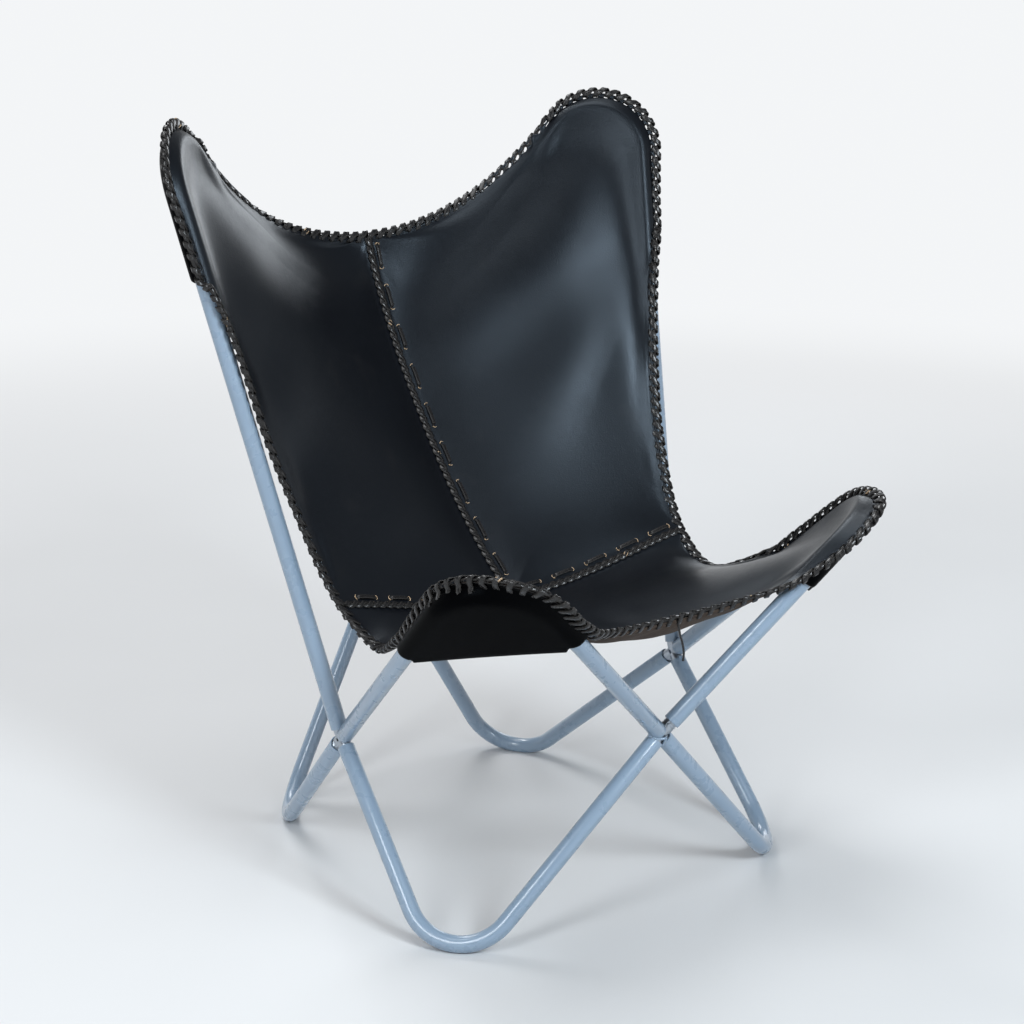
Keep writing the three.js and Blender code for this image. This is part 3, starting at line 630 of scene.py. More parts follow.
REAR_RIM = {
    "section": [(17.6, 3), (20.5, 3), (22, 2), (20.5, 0), (17.5, 0), (15, 0), (14, 0)],
    "reach": (-34, 102),
}
FRONT_RIM = {
    "section": [(7, 16), (10, 14), (10.5, 13), (15, 8), (31, -6), (23, -5), (20, 6)],
    "reach": (105, 60),
}
TOP_MIDDLE, TOP_LEVEL = np.array((0, 303, 683.5)), 155
FRONT_MIDDLE, FRONT_LEVEL = np.array((0, -282, 356.0)), 95
SIDE_KNOTS = [(290, 109, 580), (262, 61, 447), (244, -4, 344), (240, -68, 314)]
SIDEWAYS = np.array((1.0, 0, 0))
SEAM_ON_SIDE = 3 / 5
SEAM_END = np.array(SIDE_KNOTS[2], float)


# %% Curves and the way over a tube
def smooth(x):
    """A soft step from 0 to 1."""
    x = np.clip(x, 0, 1)
    return x * x * (3 - 2 * x)


def bezier(knots, t):
    """Places and directions on a Bezier curve."""
    knots, t = np.array(knots, float), np.asarray(t, float)[..., None]
    order = len(knots) - 1

    def weigh(points, n):
        return sum(math.comb(n, k) * t**k * (1 - t) ** (n - k) * p for k, p in enumerate(points))

    return weigh(knots, order), unit(weigh(np.diff(knots, axis=0), order - 1))


def sampled(at, s, table):
    """The lines of a table that stand at s, read at other places."""
    return np.stack([np.interp(at, s, column) for column in table.T], 1)


def square_to(run, way):
    """The part of a direction that is square to another."""
    return unit(way - np.sum(way * run, -1, keepdims=True) * run)


def clear_of_horns(points, radius):
    """Points moved off both horn tubes, to the sitter's side."""
    return bends["rear_horn"].lifted(bends["front_horn"].lifted(points, radius), radius)


def edge_steps(length, hole):
    """Distances of a row's first columns from the edge, two on each side of a hole."""
    length = np.asarray(length, float).reshape(-1, 1)
    hole = np.asarray(hole).reshape(-1, 1)
    near = (hole + HOLE_SPREAD) * np.minimum(1, length / (hole + HOLE_MARGIN_LENGTH))
    rest = WRAP_COLUMNS - len(HOLE_SPREAD)
    last = near[:, -1:]
    return np.hstack([near, last + (length - last) * np.arange(1, rest + 1) / rest])


def wrap(horn, centre, out, edge, hole, side):
    """From the edge along a flat flange and over the tube, on the sitter's side (1) or not (-1)."""
    d = edge - centre
    x, y = np.sum(d * out, -1), d @ horn.normal
    far, angle = np.hypot(x, y), np.arctan2(y, x)
    flange = np.clip(far - FOLD_RADIUS, 0, FLANGE)
    fold = np.maximum(far - flange, DRAPE_RADIUS)
    meets = angle + side * np.arccos(DRAPE_RADIUS / fold)
    turn = np.maximum(0, math.pi / 2 - side * meets)
    straight = np.sqrt(np.maximum(1e-6, fold**2 - DRAPE_RADIUS**2))
    steps = edge_steps(flange + straight + turn * DRAPE_RADIUS, hole)
    rows = []
    for length in steps.T:
        in_flange = np.minimum(length, flange)
        in_straight = np.clip(length - flange, 0, straight) / straight
        over = meets + side * np.maximum(0, length - flange - straight) / DRAPE_RADIUS
        bent = np.stack([np.cos(over), np.sin(over)]) * DRAPE_RADIUS
        flat = np.stack([np.cos(angle), np.sin(angle)]) * (far - in_flange)
        u, v = flat + (bent - flat) * in_straight
        rows.append(centre + u[:, None] * out + v[:, None] * horn.normal)
    return np.stack(rows, 1)


# %% [markdown]
# An edge is kept as a table with one line for each spot: place, row number, how far the pocket lies
# under it (layer), whether it goes round a horn, the tube's centre, the way away from the bend, and
# the way out of the leather. The row numbers say later which part of the seams a row runs to.


# %% Edge line
def rim_spots(horn, section, reach, first_sign, numbers):
    """The edge round a horn."""
    along = np.arange(horn.curved + reach[0], -(horn.curved + reach[1]), -LINE_STEP)
    share = (along[0] - along) / (along[0] - along[-1])
    centre, out = horn.station(first_sign * along)
    margin, lift = through(section, share, even=True).T
    place = centre + out * margin[:, None] + horn.normal * lift[:, None]
    number = numbers[0] + (numbers[1] - numbers[0]) * share[:, None]
    ones = np.ones((len(along), 1))
    return np.hstack([place, number, ones, ones, centre, out, unit(place - centre)])


def free_spots(line, numbers, fade_from, way_out):
    """The edge between the horns."""
    n = max(3, int(length_of(line) / LINE_STEP))
    pick = np.linspace(0, len(line) - 1, n)
    line = sampled(pick, np.arange(len(line)), line)
    t = np.linspace(0, 1, n)[:, None]
    layer = smooth(1 - np.abs(t * fade_from[1] + fade_from[0]) / EDGE_FADE)
    number = numbers[0] + (numbers[1] - numbers[0]) * t
    rest, line = np.zeros((n, 7)), clear_of_horns(line, LACE_DRAPE_RADIUS)
    return np.hstack([line, number, layer, rest, np.tile(way_out, (n, 1))])


FINE_STEPS = 400
rear_rim = rim_spots(bends["rear_horn"], **REAR_RIM, first_sign=-1, numbers=REAR_NUMBERS)
front_rim = rim_spots(bends["front_horn"], **FRONT_RIM, first_sign=1, numbers=FRONT_NUMBERS)
fine = np.linspace(0, 1, FINE_STEPS)
top_handle = TOP_MIDDLE + SIDEWAYS * TOP_LEVEL
front_handle = FRONT_MIDDLE + SIDEWAYS * FRONT_LEVEL
top_line = bezier([TOP_MIDDLE, top_handle, rear_rim[0, :3]], fine)[0]
front_line = bezier([front_rim[-1, :3], front_handle, FRONT_MIDDLE], fine)[0]
side_knots = [rear_rim[-1, :3], *SIDE_KNOTS, front_rim[0, :3]]
back_side_line = through(side_knots, fine * SEAM_ON_SIDE)
seat_side_line = through(side_knots, SEAM_ON_SIDE + fine * (1 - SEAM_ON_SIDE))
on_back, on_seat = SEAM_ON_SIDE, 1 - SEAM_ON_SIDE
rear_out, front_out = rear_rim[[0, -1], -3:], front_rim[[0, -1], -3:]
back_spots = np.vstack([
    free_spots(top_line, (0, REAR_NUMBERS[0]), (-1, 1), rear_out[0])[:-1],
    rear_rim,
    free_spots(back_side_line, (REAR_NUMBERS[1], BACK_LAST), (0, on_back), rear_out[1])[1:],
])
seat_spots = np.vstack([
    free_spots(seat_side_line, (0, FRONT_NUMBERS[0]), (-on_seat, on_seat), front_out[0])[:-1],
    front_rim,
    free_spots(front_line, (FRONT_NUMBERS[1], SEAT_LAST), (0, 1), front_out[1])[1:],
])
for name, spots in (("back", back_spots), ("seat", seat_spots)):
    print("edge of the", name, round(length_of(spots[:, :3])), "mm")

# %% [markdown]
# ## Seams
# Two seams divide the sling: one down the middle of the back, one across, where the back meets the
# seat. Each is a Bezier curve, because its slope at both ends can then be set by itself. A panel's
# rows end on one seam, go round the corner where the seams meet, and go on along the other.

# %% Seams
SEAM_SLOPE = math.radians(28)
TOP_SLOPE, TOP_HANDLE, FOOT_HANDLE = math.radians(74), 117, 121
REAR_HANDLE, FRONT_SLOPE, FRONT_HANDLE = 80, math.radians(20), 95
MIDDLE_LEVEL, SIDE_HANDLE = 95, 70


def slope_way(angle):
    """Back and up, at an angle to the floor."""
    return np.array((0, math.cos(angle), math.sin(angle)))


BACK_WAY = slope_way(SEAM_SLOPE)
back_seam = [
    TOP_MIDDLE,
    TOP_MIDDLE - slope_way(TOP_SLOPE) * TOP_HANDLE,
    JUNCTION + BACK_WAY * FOOT_HANDLE,
    JUNCTION,
]
seat_line = [
    JUNCTION,
    JUNCTION - BACK_WAY * REAR_HANDLE,
    FRONT_MIDDLE + slope_way(-FRONT_SLOPE) * FRONT_HANDLE,
    FRONT_MIDDLE,
]
seat_seam = [
    JUNCTION,
    JUNCTION + SIDEWAYS * MIDDLE_LEVEL,
    SEAM_END + unit(JUNCTION - SEAM_END) * SIDE_HANDLE,
    SEAM_END,
]
side_back = unit(back_side_line[-2] - back_side_line[-1])


# %% Ends of the rows
def across(t):
    """The way into the panel at the middle of the chair."""
    return np.tile(SIDEWAYS, (len(t), 1))


def into_back(t):
    """The way into the back at the seat seam, from the middle to the side."""
    return unit(BACK_WAY + (side_back - BACK_WAY) * t[:, None])


def seam_at(curve, way_of, t, sign=1):
    """Place, way into the sheet and sitter's side, along a seam."""
    t = np.clip(t, 0, 1)
    place, run = bezier(curve, t)
    way = way_of(t)
    return place, way * sign, unit(np.cross(run, way))


def goals_of(number, first, second, turn, gap_second):
    """Where each row of a panel ends: along one seam to the junction, then along the next."""
    p1, w1 = first(np.minimum(number, turn))[:2]
    p2, w2 = second(np.maximum(number, turn))[:2]
    late = (number > turn)[:, None]
    share = smooth((number - turn + TURN_SPREAD) / (2 * TURN_SPREAD))[:, None]
    way = unit(w1 + (w2 - w1) * share)
    gap = np.where(late, gap_second, SEAM_HALF_GAP)
    return np.where(late, p2, p1) + np.where(late, w2, w1) * gap, way


def back_goals(number):
    """Row ends of a back panel: down the back seam, then out along the seat seam."""
    return goals_of(
        number,
        lambda u: seam_at(back_seam, across, u / BACK_TURN),
        lambda u: seam_at(seat_seam, into_back, (u - BACK_TURN) / (BACK_LAST - BACK_TURN)),
        BACK_TURN,
        SEAM_HALF_GAP,
    )


def seat_goals(number):
    """Row ends of half the seat: in along the seat seam, then down the middle of the seat."""
    return goals_of(
        number,
        lambda u: seam_at(seat_seam, into_back, 1 - u / SEAT_TURN, -1),
        lambda u: seam_at(seat_line, across, (u - SEAT_TURN) / (SEAT_LAST - SEAT_TURN)),
        SEAT_TURN,
        0,
    )


# %% [markdown]
# ## Cutting and stretching the leather
# A panel is a net of rows. Each row starts at the edge, bends over the tube where there is one and
# runs to the seam. The rows stand half a stitch apart, so that every second gap can take a lacing
# hole. Cloth simulation would do, but stiff leather held all round takes the shape of a stretched
# skin, and that is quicker to settle: each free point moves to the mean of its neighbours, and is
# pushed off the tubes where it would cut into them.

# %% Settling
SETTLE_ROUNDS = 320
OVER_RELAX = 1.75
LEAST_GAP = 0.2


def settled(net, held):
    """A net whose free points have come to rest, with two sets of points moved in turn."""

    def gaps(axis):
        ahead = np.maximum(LEAST_GAP, np.linalg.norm(np.diff(net, axis=axis), axis=-1))
        if axis == 0:
            return ahead[:-1, 1:-1], ahead[1:, 1:-1]
        return ahead[1:-1, :-1], ahead[1:-1, 1:]

    weights = []
    for axis in (0, 1):
        low, high = gaps(axis)
        weights += [1 / (low * (low + high)), 1 / (high * (low + high))]
    total = sum(weights)
    weights = [(w / total)[..., None] for w in weights]
    free = ~held[1:-1, 1:-1]
    i, j = np.indices(free.shape)
    colours = [free & ((i + j) % 2 == parity) for parity in (0, 1)]
    for _ in range(SETTLE_ROUNDS):
        for pick in colours:
            around = (net[:-2, 1:-1], net[2:, 1:-1], net[1:-1, :-2], net[1:-1, 2:])
            mean = sum(w[pick] * a[pick] for w, a in zip(weights, around))
            inner = net[1:-1, 1:-1]
            moved = inner[pick] + OVER_RELAX * (mean - inner[pick])
            inner[pick] = clear_of_horns(moved, DRAPE_RADIUS)
    return net


# %% Nets
STITCH = 14
FIELD_COLUMNS = 22
STRIP_LENGTH = 27
STRIP_SHARE, FLAT_SHARE = 0.3, 0.25
STEEP, WHOLLY = 1, 0.99


def along_line(spots, count):
    """Rows at even steps along an edge, the first and last half a step from its ends."""
    s = lengths_along(spots[:, :3])
    at = (np.arange(count) + 0.5) * s[-1] / count
    return at, sampled(at, s, spots)


def half_panel(spots, goals_at):
    """Settled net of a half panel, with the edge's own directions."""
    count = 2 * round(length_of(spots[:, :3]) / STITCH)
    at, rows = along_line(spots, count)
    place, number, layer = rows[:, :3], rows[:, 3], rows[:, 4:5]
    on_rim = rows[:, 5] > WHOLLY
    goal, way = goals_at(number)
    run = unit(np.gradient(place, axis=0))
    inward = square_to(run, goal - place)
    outward = square_to(run, -inward * (1 - layer) + rows[:, -3:] * layer)
    edge_lean = np.cross(run, outward)
    start = place + edge_lean * LAYER_OFFSET * layer
    width = np.linalg.norm(goal - start, axis=1, keepdims=True)
    strip_length = np.minimum(STRIP_LENGTH, width * STRIP_SHARE)
    rear = goals_at is back_goals
    hole = FREE_HOLE + (REAR_RIM_HOLE - FREE_HOLE) * layer * rear
    strip = start[:, None] + inward[:, None] * edge_steps(strip_length, hole)[..., None]
    horn = bends["rear_horn" if rear else "front_horn"]
    tube = rows[on_rim, 6:9], unit(rows[on_rim, 9:12])
    far = np.linalg.norm(rows[on_rim, :3] - tube[0], axis=1, keepdims=True)
    flange, slope = np.full((len(rows), 1), float(FLANGE)), np.zeros((len(rows), 1))
    flange[on_rim] = np.floor(np.clip(far - FOLD_RADIUS, 0, FLANGE))
    lie = np.arcsin(np.minimum(1, DRAPE_RADIUS / (far - flange[on_rim])))
    slope[on_rim] = np.where(lie >= STEEP, STEEP, 0)
    strip[on_rim] = wrap(horn, *tube, start[on_rim], hole[on_rim], 1)
    flat = goal + way * np.minimum(SEAM_FLAT, width * FLAT_SHARE)
    share = np.arange(1, FIELD_COLUMNS)[None, :, None] / FIELD_COLUMNS
    field = strip[:, -1:] + (flat[:, None] - strip[:, -1:]) * share
    net = np.concatenate([start[:, None], strip, field, flat[:, None], goal[:, None]], 1)
    held = np.zeros(net.shape[:2], bool)
    held[:, 0] = held[:, -2:] = held[0] = held[-1] = True
    held[on_rim, : WRAP_COLUMNS + 1] = True
    edge = {"at": at, "place": place, "run": run, "lean": edge_lean, "on_rim": on_rim}
    edge |= {"tube": tube, "horn": horn, "hole": hole, "number": number}
    edge["track"] = np.hstack([place, outward, edge_lean, layer, hole, flange, slope])
    return settled(net, held), edge


back_net, back_edge = half_panel(back_spots, back_goals)
seat_net, seat_edge = half_panel(seat_spots, seat_goals)
print("nets:", back_net.shape[:2], seat_net.shape[:2])

# %% [markdown]
# ## Years of sitting
# A used sling is no longer a tight skin. It hangs hollow behind its edges, its seams and the tubes,
# so that the edge stands up as a rim, and the hide has soft dents. Both are moves of the net along
# its own normals: a hollow that grows with the distance from what holds the leather, and a few
# long waves with their own chance for each panel. At a free edge the lacing's directions then
# follow the sagged leather, and down the middle of the seat the two halves are evened into one.

# %% Sag
SAG_RISE, SEAM_RISE = 17, 60
BACK_SAG, SEAT_SAG = 10, 13
ROLL_DEPTH, ROLL_REACH = 7, 34
SAG_SMOOTHING = 40
MIDDLE_COLUMNS, MIDDLE_ROUNDS, MIDDLE_START = 12, 120, 3


def normals_of(net):
    return unit(np.cross(np.gradient(net, axis=0), np.gradient(net, axis=1)))


def nearest(points, line):
    """Distance of each point to the nearest spot of a line."""
    return np.min([np.linalg.norm(points - spot, axis=-1) for spot in line], axis=0)


def sagged(net, edge, depth, seam_rows):
    """A settled net made hollow behind its edges, its seams and the tubes it hangs on."""
    normal = normals_of(net)
    normal[~seam_rows, -1, 0] = 0
    away = normal * np.sign(np.sum(normal * (net - SITTER), -1, keepdims=True))
    on_rim = edge["on_rim"]
    hold = np.where(on_rim[:, None], net[:, WRAP_COLUMNS], net[:, 0])
    inside = nearest(net, hold)
    hollow = depth * (1 - np.exp(-inside / SAG_RISE))
    hollow += ROLL_DEPTH * inside / ROLL_REACH * np.exp(1 - inside / ROLL_REACH)
    hollow *= 1 - np.exp(-nearest(net, net[seam_rows, -1]) / SEAM_RISE)
    hollow[on_rim, : WRAP_COLUMNS + 1] = 0
    for _ in range(SAG_SMOOTHING):
        beside = hollow[:-2, 1:-1] + hollow[2:, 1:-1]
        hollow[1:-1, 1:-1] += (beside - 2 * hollow[1:-1, 1:-1]) / 4
    hollow[on_rim, : WRAP_COLUMNS + 1] = 0
    return clear_of_horns(net + away * hollow[..., None], DRAPE_RADIUS)


def evened(net, number):
    """The seat's net with no crease down its middle, where the two halves are one sheet."""
    share = smooth((number - SEAT_TURN) / MIDDLE_START)[:, None, None] / 4
    turn = np.exp(-(((number - SEAT_TURN) / MIDDLE_START) ** 2))[:, None, None] / 4
    for _ in range(MIDDLE_ROUNDS):
        near = net[:, -MIDDLE_COLUMNS:]
        ahead = np.concatenate([near[:, 1:], near[:, -2:-1] * (-1, 1, 1)], 1)
        behind = net[:, -MIDDLE_COLUMNS - 1 : -1]
        net[:, -MIDDLE_COLUMNS:] = near + (ahead + behind - 2 * near) * share
        inner = net[1:-1, -MIDDLE_COLUMNS:-2]
        beside = net[:-2, -MIDDLE_COLUMNS:-2] + net[2:, -MIDDLE_COLUMNS:-2]
        net[1:-1, -MIDDLE_COLUMNS:-2] = inner + (beside - 2 * inner) * turn[1:-1]
    return net


back_net = sagged(back_net, back_edge, BACK_SAG, back_edge["number"] < np.inf)
seat_net = sagged(seat_net, seat_edge, SEAT_SAG, seat_edge["number"] < SEAT_TURN)
seat_net = evened(seat_net, seat_edge["number"])
print("sag:", BACK_SAG, "mm in the back,", SEAT_SAG, "mm in the seat")

# %% Directions at the edge, and dents
STRIP_END, TURN_ROWS = 5, 4
DENT_WAVES, DENT_LENGTHS, DENT_DEPTH = 7, (70, 190), 1.5
DENT_FADE = 6


def follow_sheet(net, edge):
    """Turns the directions at a free edge into the plane of the sagged sheet."""
    track, run = edge["track"], edge["run"]
    out = np.where(edge["on_rim"][:, None], track[:, 3:6], unit(net[:, 0] - net[:, STRIP_END]))
    spread = np.pad(out, ((TURN_ROWS, TURN_ROWS), (0, 0)), mode="edge")
    out = sum(spread[k : k + len(out)] for k in range(2 * TURN_ROWS + 1))
    out = square_to(run, out)
    track[:, 3:6], track[:, 6:9] = out, np.cross(run, out)


def dented(net, seed):
    """A net with the soft dents of a used hide, which fade out towards its edge and seams."""
    hand = np.random.default_rng(seed)
    height = np.zeros(net.shape[:2])
    for _ in range(DENT_WAVES):
        way, length = unit(hand.normal(size=3)), hand.uniform(*DENT_LENGTHS)
        height += np.sin(net @ way * 2 * math.pi / length + hand.uniform(0, 2 * math.pi))
    row, column = np.indices(height.shape)
    inside = np.minimum(column - WRAP_COLUMNS, net.shape[1] - 1 - column)
    inside = np.minimum(inside, np.minimum(row, net.shape[0] - 1 - row))
    height *= smooth(inside / DENT_FADE) * DENT_DEPTH / math.sqrt(DENT_WAVES)
    return clear_of_horns(net + normals_of(net) * height[..., None], DRAPE_RADIUS)


for net, edge in ((back_net, back_edge), (seat_net, seat_edge)):
    follow_sheet(net, edge)
print("dents:", DENT_WAVES, "waves,", DENT_DEPTH, "mm")

# %% [markdown]
# ## Sewing up the panels
# A net becomes leather in three steps: faces between its points, left out where a lacing hole is
# punched; Solidify, which gives the thickness, with grain, flesh side and cut edge as three
# finishes; and one level of Subdivision Surface, which rounds the square holes.

# %% Leather pieces
HOLE_COLUMN, HOLE_MARGIN = 2, 2
ROUND_ALL = 180
MERGE_DISTANCE = 2e-5


def grid_faces(shape, holes=()):
    """Faces of a net, apart from those in holes."""
    rows, columns = shape
    return [
        (i * columns + j, i * columns + j + 1, (i + 1) * columns + j + 1, (i + 1) * columns + j)
        for i in range(rows - 1)
        for j in range(columns - 1)
        if (i, j) not in holes
    ]


def lacing_holes(rows):
    return {(i, HOLE_COLUMN) for i in range(HOLE_MARGIN + 1, rows - HOLE_MARGIN, 2)}


def mesh_piece(name, points, faces, materials, smooth_angle):
    """A new mesh from places in the drawing frame."""
    mesh = bpy.data.meshes.new(name)
    mesh.from_pydata([tuple(p) for p in placed(points)], [], faces)
    for finish in materials:
        mesh.materials.append(finish.material)
    piece = bpy.data.objects.new(name, mesh)
    bpy.context.scene.collection.objects.link(piece)
    select_only(piece)
    bpy.ops.object.shade_smooth_by_angle(angle=math.radians(smooth_angle))
    return piece


def leather_piece(name, points, faces, node, toward, grain=leather):
    """A sheet of leather: grain on the sitter's side, flesh on the other, a cut edge round it."""
    piece = mesh_piece(name, points, faces, (grain, flesh, cut), ROUND_ALL)
    select_only(piece)
    bpy.ops.object.mode_set(mode="EDIT")
    weld(MERGE_DISTANCE)
    facing = sum(p.area * p.normal.dot(Vector(toward)) for p in piece.data.polygons)
    if facing < 0:
        piece.data.flip_normals()
    skin = {"thickness": LEATHER * MM, "offset": 0}
    skin |= {"material_offset": 1, "material_offset_rim": 2}
    finish_mesh(piece, ("SOLIDIFY", skin), ("SUBSURF", {"levels": 1, "render_levels": 1}))
    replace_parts(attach(piece, "root"), node)
    return piece


# %% Panels
BACK_FACING, SEAT_FACING = (0, -1, 0.6), (0, 0.2, 1)
DENT_SEEDS = {"right": 3, "left": 8, "seat": 5}

panels = {}
back_faces = grid_faces(back_net.shape[:2], lacing_holes(len(back_net)))
for side in ("right", "left"):
    points = flip(dented(back_net, DENT_SEEDS[side]).reshape(-1, 3), side == "left")
    node = f"back_panel_{side}"
    panels[side] = leather_piece(f"back_{side}", points, back_faces, node, BACK_FACING)
half_faces = grid_faces(seat_net.shape[:2], lacing_holes(len(seat_net)))
half_points = dented(seat_net, DENT_SEEDS["seat"]).reshape(-1, 3)
other = [tuple(i + len(half_points) for i in face[::-1]) for face in half_faces]
seat_points = np.vstack([half_points, flip(half_points, True)])
seat_faces = half_faces + other
panels["seat"] = leather_piece("seat", seat_points, seat_faces, "seat_panel", SEAT_FACING)
for piece in panels.values():
    print(piece.name, len(piece.data.polygons), "faces")

# %% [markdown]
# ## Pockets
# A pocket hangs under each horn. It shares the laced edge with the panel above it, goes round the
# outside of the tube and then straight across to the other arm, where it is open. A net made of the
# same rows as the panel lets both share the lacing holes.

# %% Pockets
POCKET_COLUMNS = 9
MOUTH_CUT = 2.2


def pocket_net(edge):
    """The net of a pocket, from the laced edge under the tube to the mouth."""
    pick = edge["on_rim"]
    lean = edge["lean"][pick]
    start = edge["place"][pick] - lean * LAYER_OFFSET
    over = wrap(edge["horn"], *edge["tube"], start, edge["hole"][pick], -1)
    under = over[:, -1]
    along = np.linspace(0, 1, len(under))[:, None]
    mouth = under[:1] + (under[-1:] - under[:1]) * along
    share = np.arange(1, POCKET_COLUMNS + 1)[None, :, None] / POCKET_COLUMNS
    inner = under[:, None] + (mouth - under)[:, None] * share
    return rounded_mouth(np.concatenate([start[:, None], over, inner], 1))


def rounded_mouth(net):
    """A pocket's net with the corners of its mouth cut back."""
    rows, columns = net.shape[:2]
    for column in range(columns):
        cut_back = MOUTH_CUT * smooth(column / (columns - 1))
        at = cut_back + np.arange(rows) * (1 - 2 * cut_back / (rows - 1))
        net[:, column] = sampled(at, np.arange(rows), net[:, column])
    return net


for horn, edge in (("rear", back_edge), ("front", seat_edge)):
    net = pocket_net(edge)
    first = int(np.argmax(edge["on_rim"]))
    holes = {(i - first, c) for i, c in lacing_holes(len(edge["at"]))}
    faces = grid_faces(net.shape[:2], holes if horn == "rear" else ())
    toward = -bends[f"{horn}_horn"].normal
    for side in ("right", "left"):
        points, facing = (flip(v, side == "left") for v in (net.reshape(-1, 3), toward))
        node = f"{horn}_pocket_{side}"
        pocket = leather_piece(f"{node}_cover", points, faces, node, facing, shaded_pocket_leather)
        print(pocket.name, len(pocket.data.polygons), "faces")

# %% [markdown]
# ## Lacing the edge
# One flat lace goes round and round the edge: up through a hole, slanting outward over the sitter's
# side, round the crest, and back to the next hole on the outside. A second strand lies along the
# crest under these turns, and keeps them off the leather. Each stitch is a little different, as in
# hand work. The lace's face is black and its cut sides are brown.

# %% Ribbons
LACE_WIDTH, LACE_THICK = 6, 1.6
RIBBON = np.array([(-0.5, -0.5), (0.5, -0.5), (0.5, 0.2), (0.3, 0.5), (-0.3, 0.5), (-0.5, 0.2)])
RIBBON_CUT_SIDES = (1, 2, 4, 5)
LACE_TURN = 50
UNDYED, UNDYED_FACES = 2600, 18
chance = np.random.default_rng(12)


def joined(shapes):
    """Corners and faces of several shapes as one."""
    points, faces, start = [], [], 0
    for corners, sides in shapes:
        points.append(corners)
        faces += [tuple(i + start for i in face) for face in sides]
        start += len(corners)
    return np.vstack(points), faces


def turned(start, along, profile, sides, square):
    """A turned bar: rings of the profile's radii along a line, closed at both ends."""
    turn = np.arange(sides) * 2 * math.pi / sides
    ring = np.cos(turn)[:, None] * square + np.sin(turn)[:, None] * np.cross(along, square)
    points = np.vstack([start + along * x + ring * radius for x, radius in profile])
    n, k = len(profile), sides
    faces = []
    for i in range(n - 1):
        for j in range(k):
            a, b = i * k + j, i * k + (j + 1) % k
            faces.append((a, b, b + k, a + k))
    return points, faces + [tuple(reversed(range(k))), tuple(range((n - 1) * k, n * k))]


def ribbon(centre, facing, width=LACE_WIDTH, thick=LACE_THICK):
    """Corners, faces and cut sides of a lace along a line, its grain side facing the given way."""
    run = unit(np.gradient(centre, axis=0))
    across = unit(np.cross(run, facing))
    up = np.cross(across, run)
    section = RIBBON * (1, thick)
    width = np.broadcast_to(width, len(centre))[:, None, None]
    points = centre[:, None] + section[:, 0][None, :, None] * width * across[:, None]
    points = points + section[:, 1][None, :, None] * up[:, None]
    n, k = len(centre), len(RIBBON)
    faces, cut_side = [], []
    for i in range(n - 1):
        for j in range(k):
            a, b = i * k + j, i * k + (j + 1) % k
            faces.append((a, a + k, b + k, b))
            cut_side.append(j in RIBBON_CUT_SIDES)
    faces += [tuple(range(k)), tuple(reversed(range((n - 1) * k, n * k)))]
    return points.reshape(-1, 3), faces, cut_side + [True, True]


def lace_piece(name, ribbons, node):
    """One piece from several laces."""
    points, faces = joined(strand[:2] for strand in ribbons)
    piece = mesh_piece(name, points, faces, (lace, cut, tan), LACE_TURN)
    finish = np.array([cut_side for strand in ribbons for cut_side in strand[2]], int)
    for start in chance.integers(0, len(finish), len(finish) // UNDYED):
        finish[start : start + UNDYED_FACES] *= 2
    piece.data.polygons.foreach_set("material_index", finish.tolist())
    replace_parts(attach(piece, "root"), node)
    return piece


# %% [markdown]
# One stitch is a short table: how far along, in stitches; how far out of the edge, in millimetres,
# or in hole distances where it is negative; how high, from the leather's middle to the lace's; and
# which way the lace faces, in degrees. The same table is walked stitch by stitch along the edge.

# %% Edge lacing
LACE_GAP = 0.15
LACE_SEAT = LEATHER / 2 + LACE_THICK / 2 + LACE_GAP
STITCH_PATH = [
    (0.0, -1.0, 0.0, 180),
    (0.02, -0.92, 0.75, 140),
    (0.12, -0.57, 1.05, 100),
    (0.34, 0.4, 1.08, 88),
    (0.56, 2.8, 1.02, 78),
    (0.74, 5.4, 0.62, 45),
    (0.86, 6.3, 0.0, 0),
    (0.95, 5.4, -0.62, -45),
    (1.02, 2.4, -1.02, -80),
    (1.05, -0.15, -1.08, -90),
    (1.04, -0.7, -1.02, -102),
    (1.01, -0.94, -0.7, -142),
]
RUNNER_PATH = [(0.0, 2.5, 0.1, 0), (0.3, 3.4, 0.25, 10), (0.6, 3.4, 0.1, 0)]
RUNNER_WIDTH = 4.2
HAND = (0.03, 0.3, 0.06, 6)
FINENESS = 2


def edge_frame(edge, s):
    """Place, way out, sitter's side, layer, hole distance, flange and slope along an edge."""
    at, track = edge["at"], edge["track"]
    first, last = track[:1].copy(), track[-1:].copy()
    first[:, :3] -= edge["run"][:1] * at[0]
    last[:, :3] += edge["run"][-1:] * at[0]
    knots = np.concatenate([[0], at, [at[-1] + at[0]]])
    padded = np.vstack([first, track, last])
    found = sampled(s, knots, padded)
    return found[:, :3], unit(found[:, 3:6]), unit(found[:, 6:9]), *found[:, 9:].T


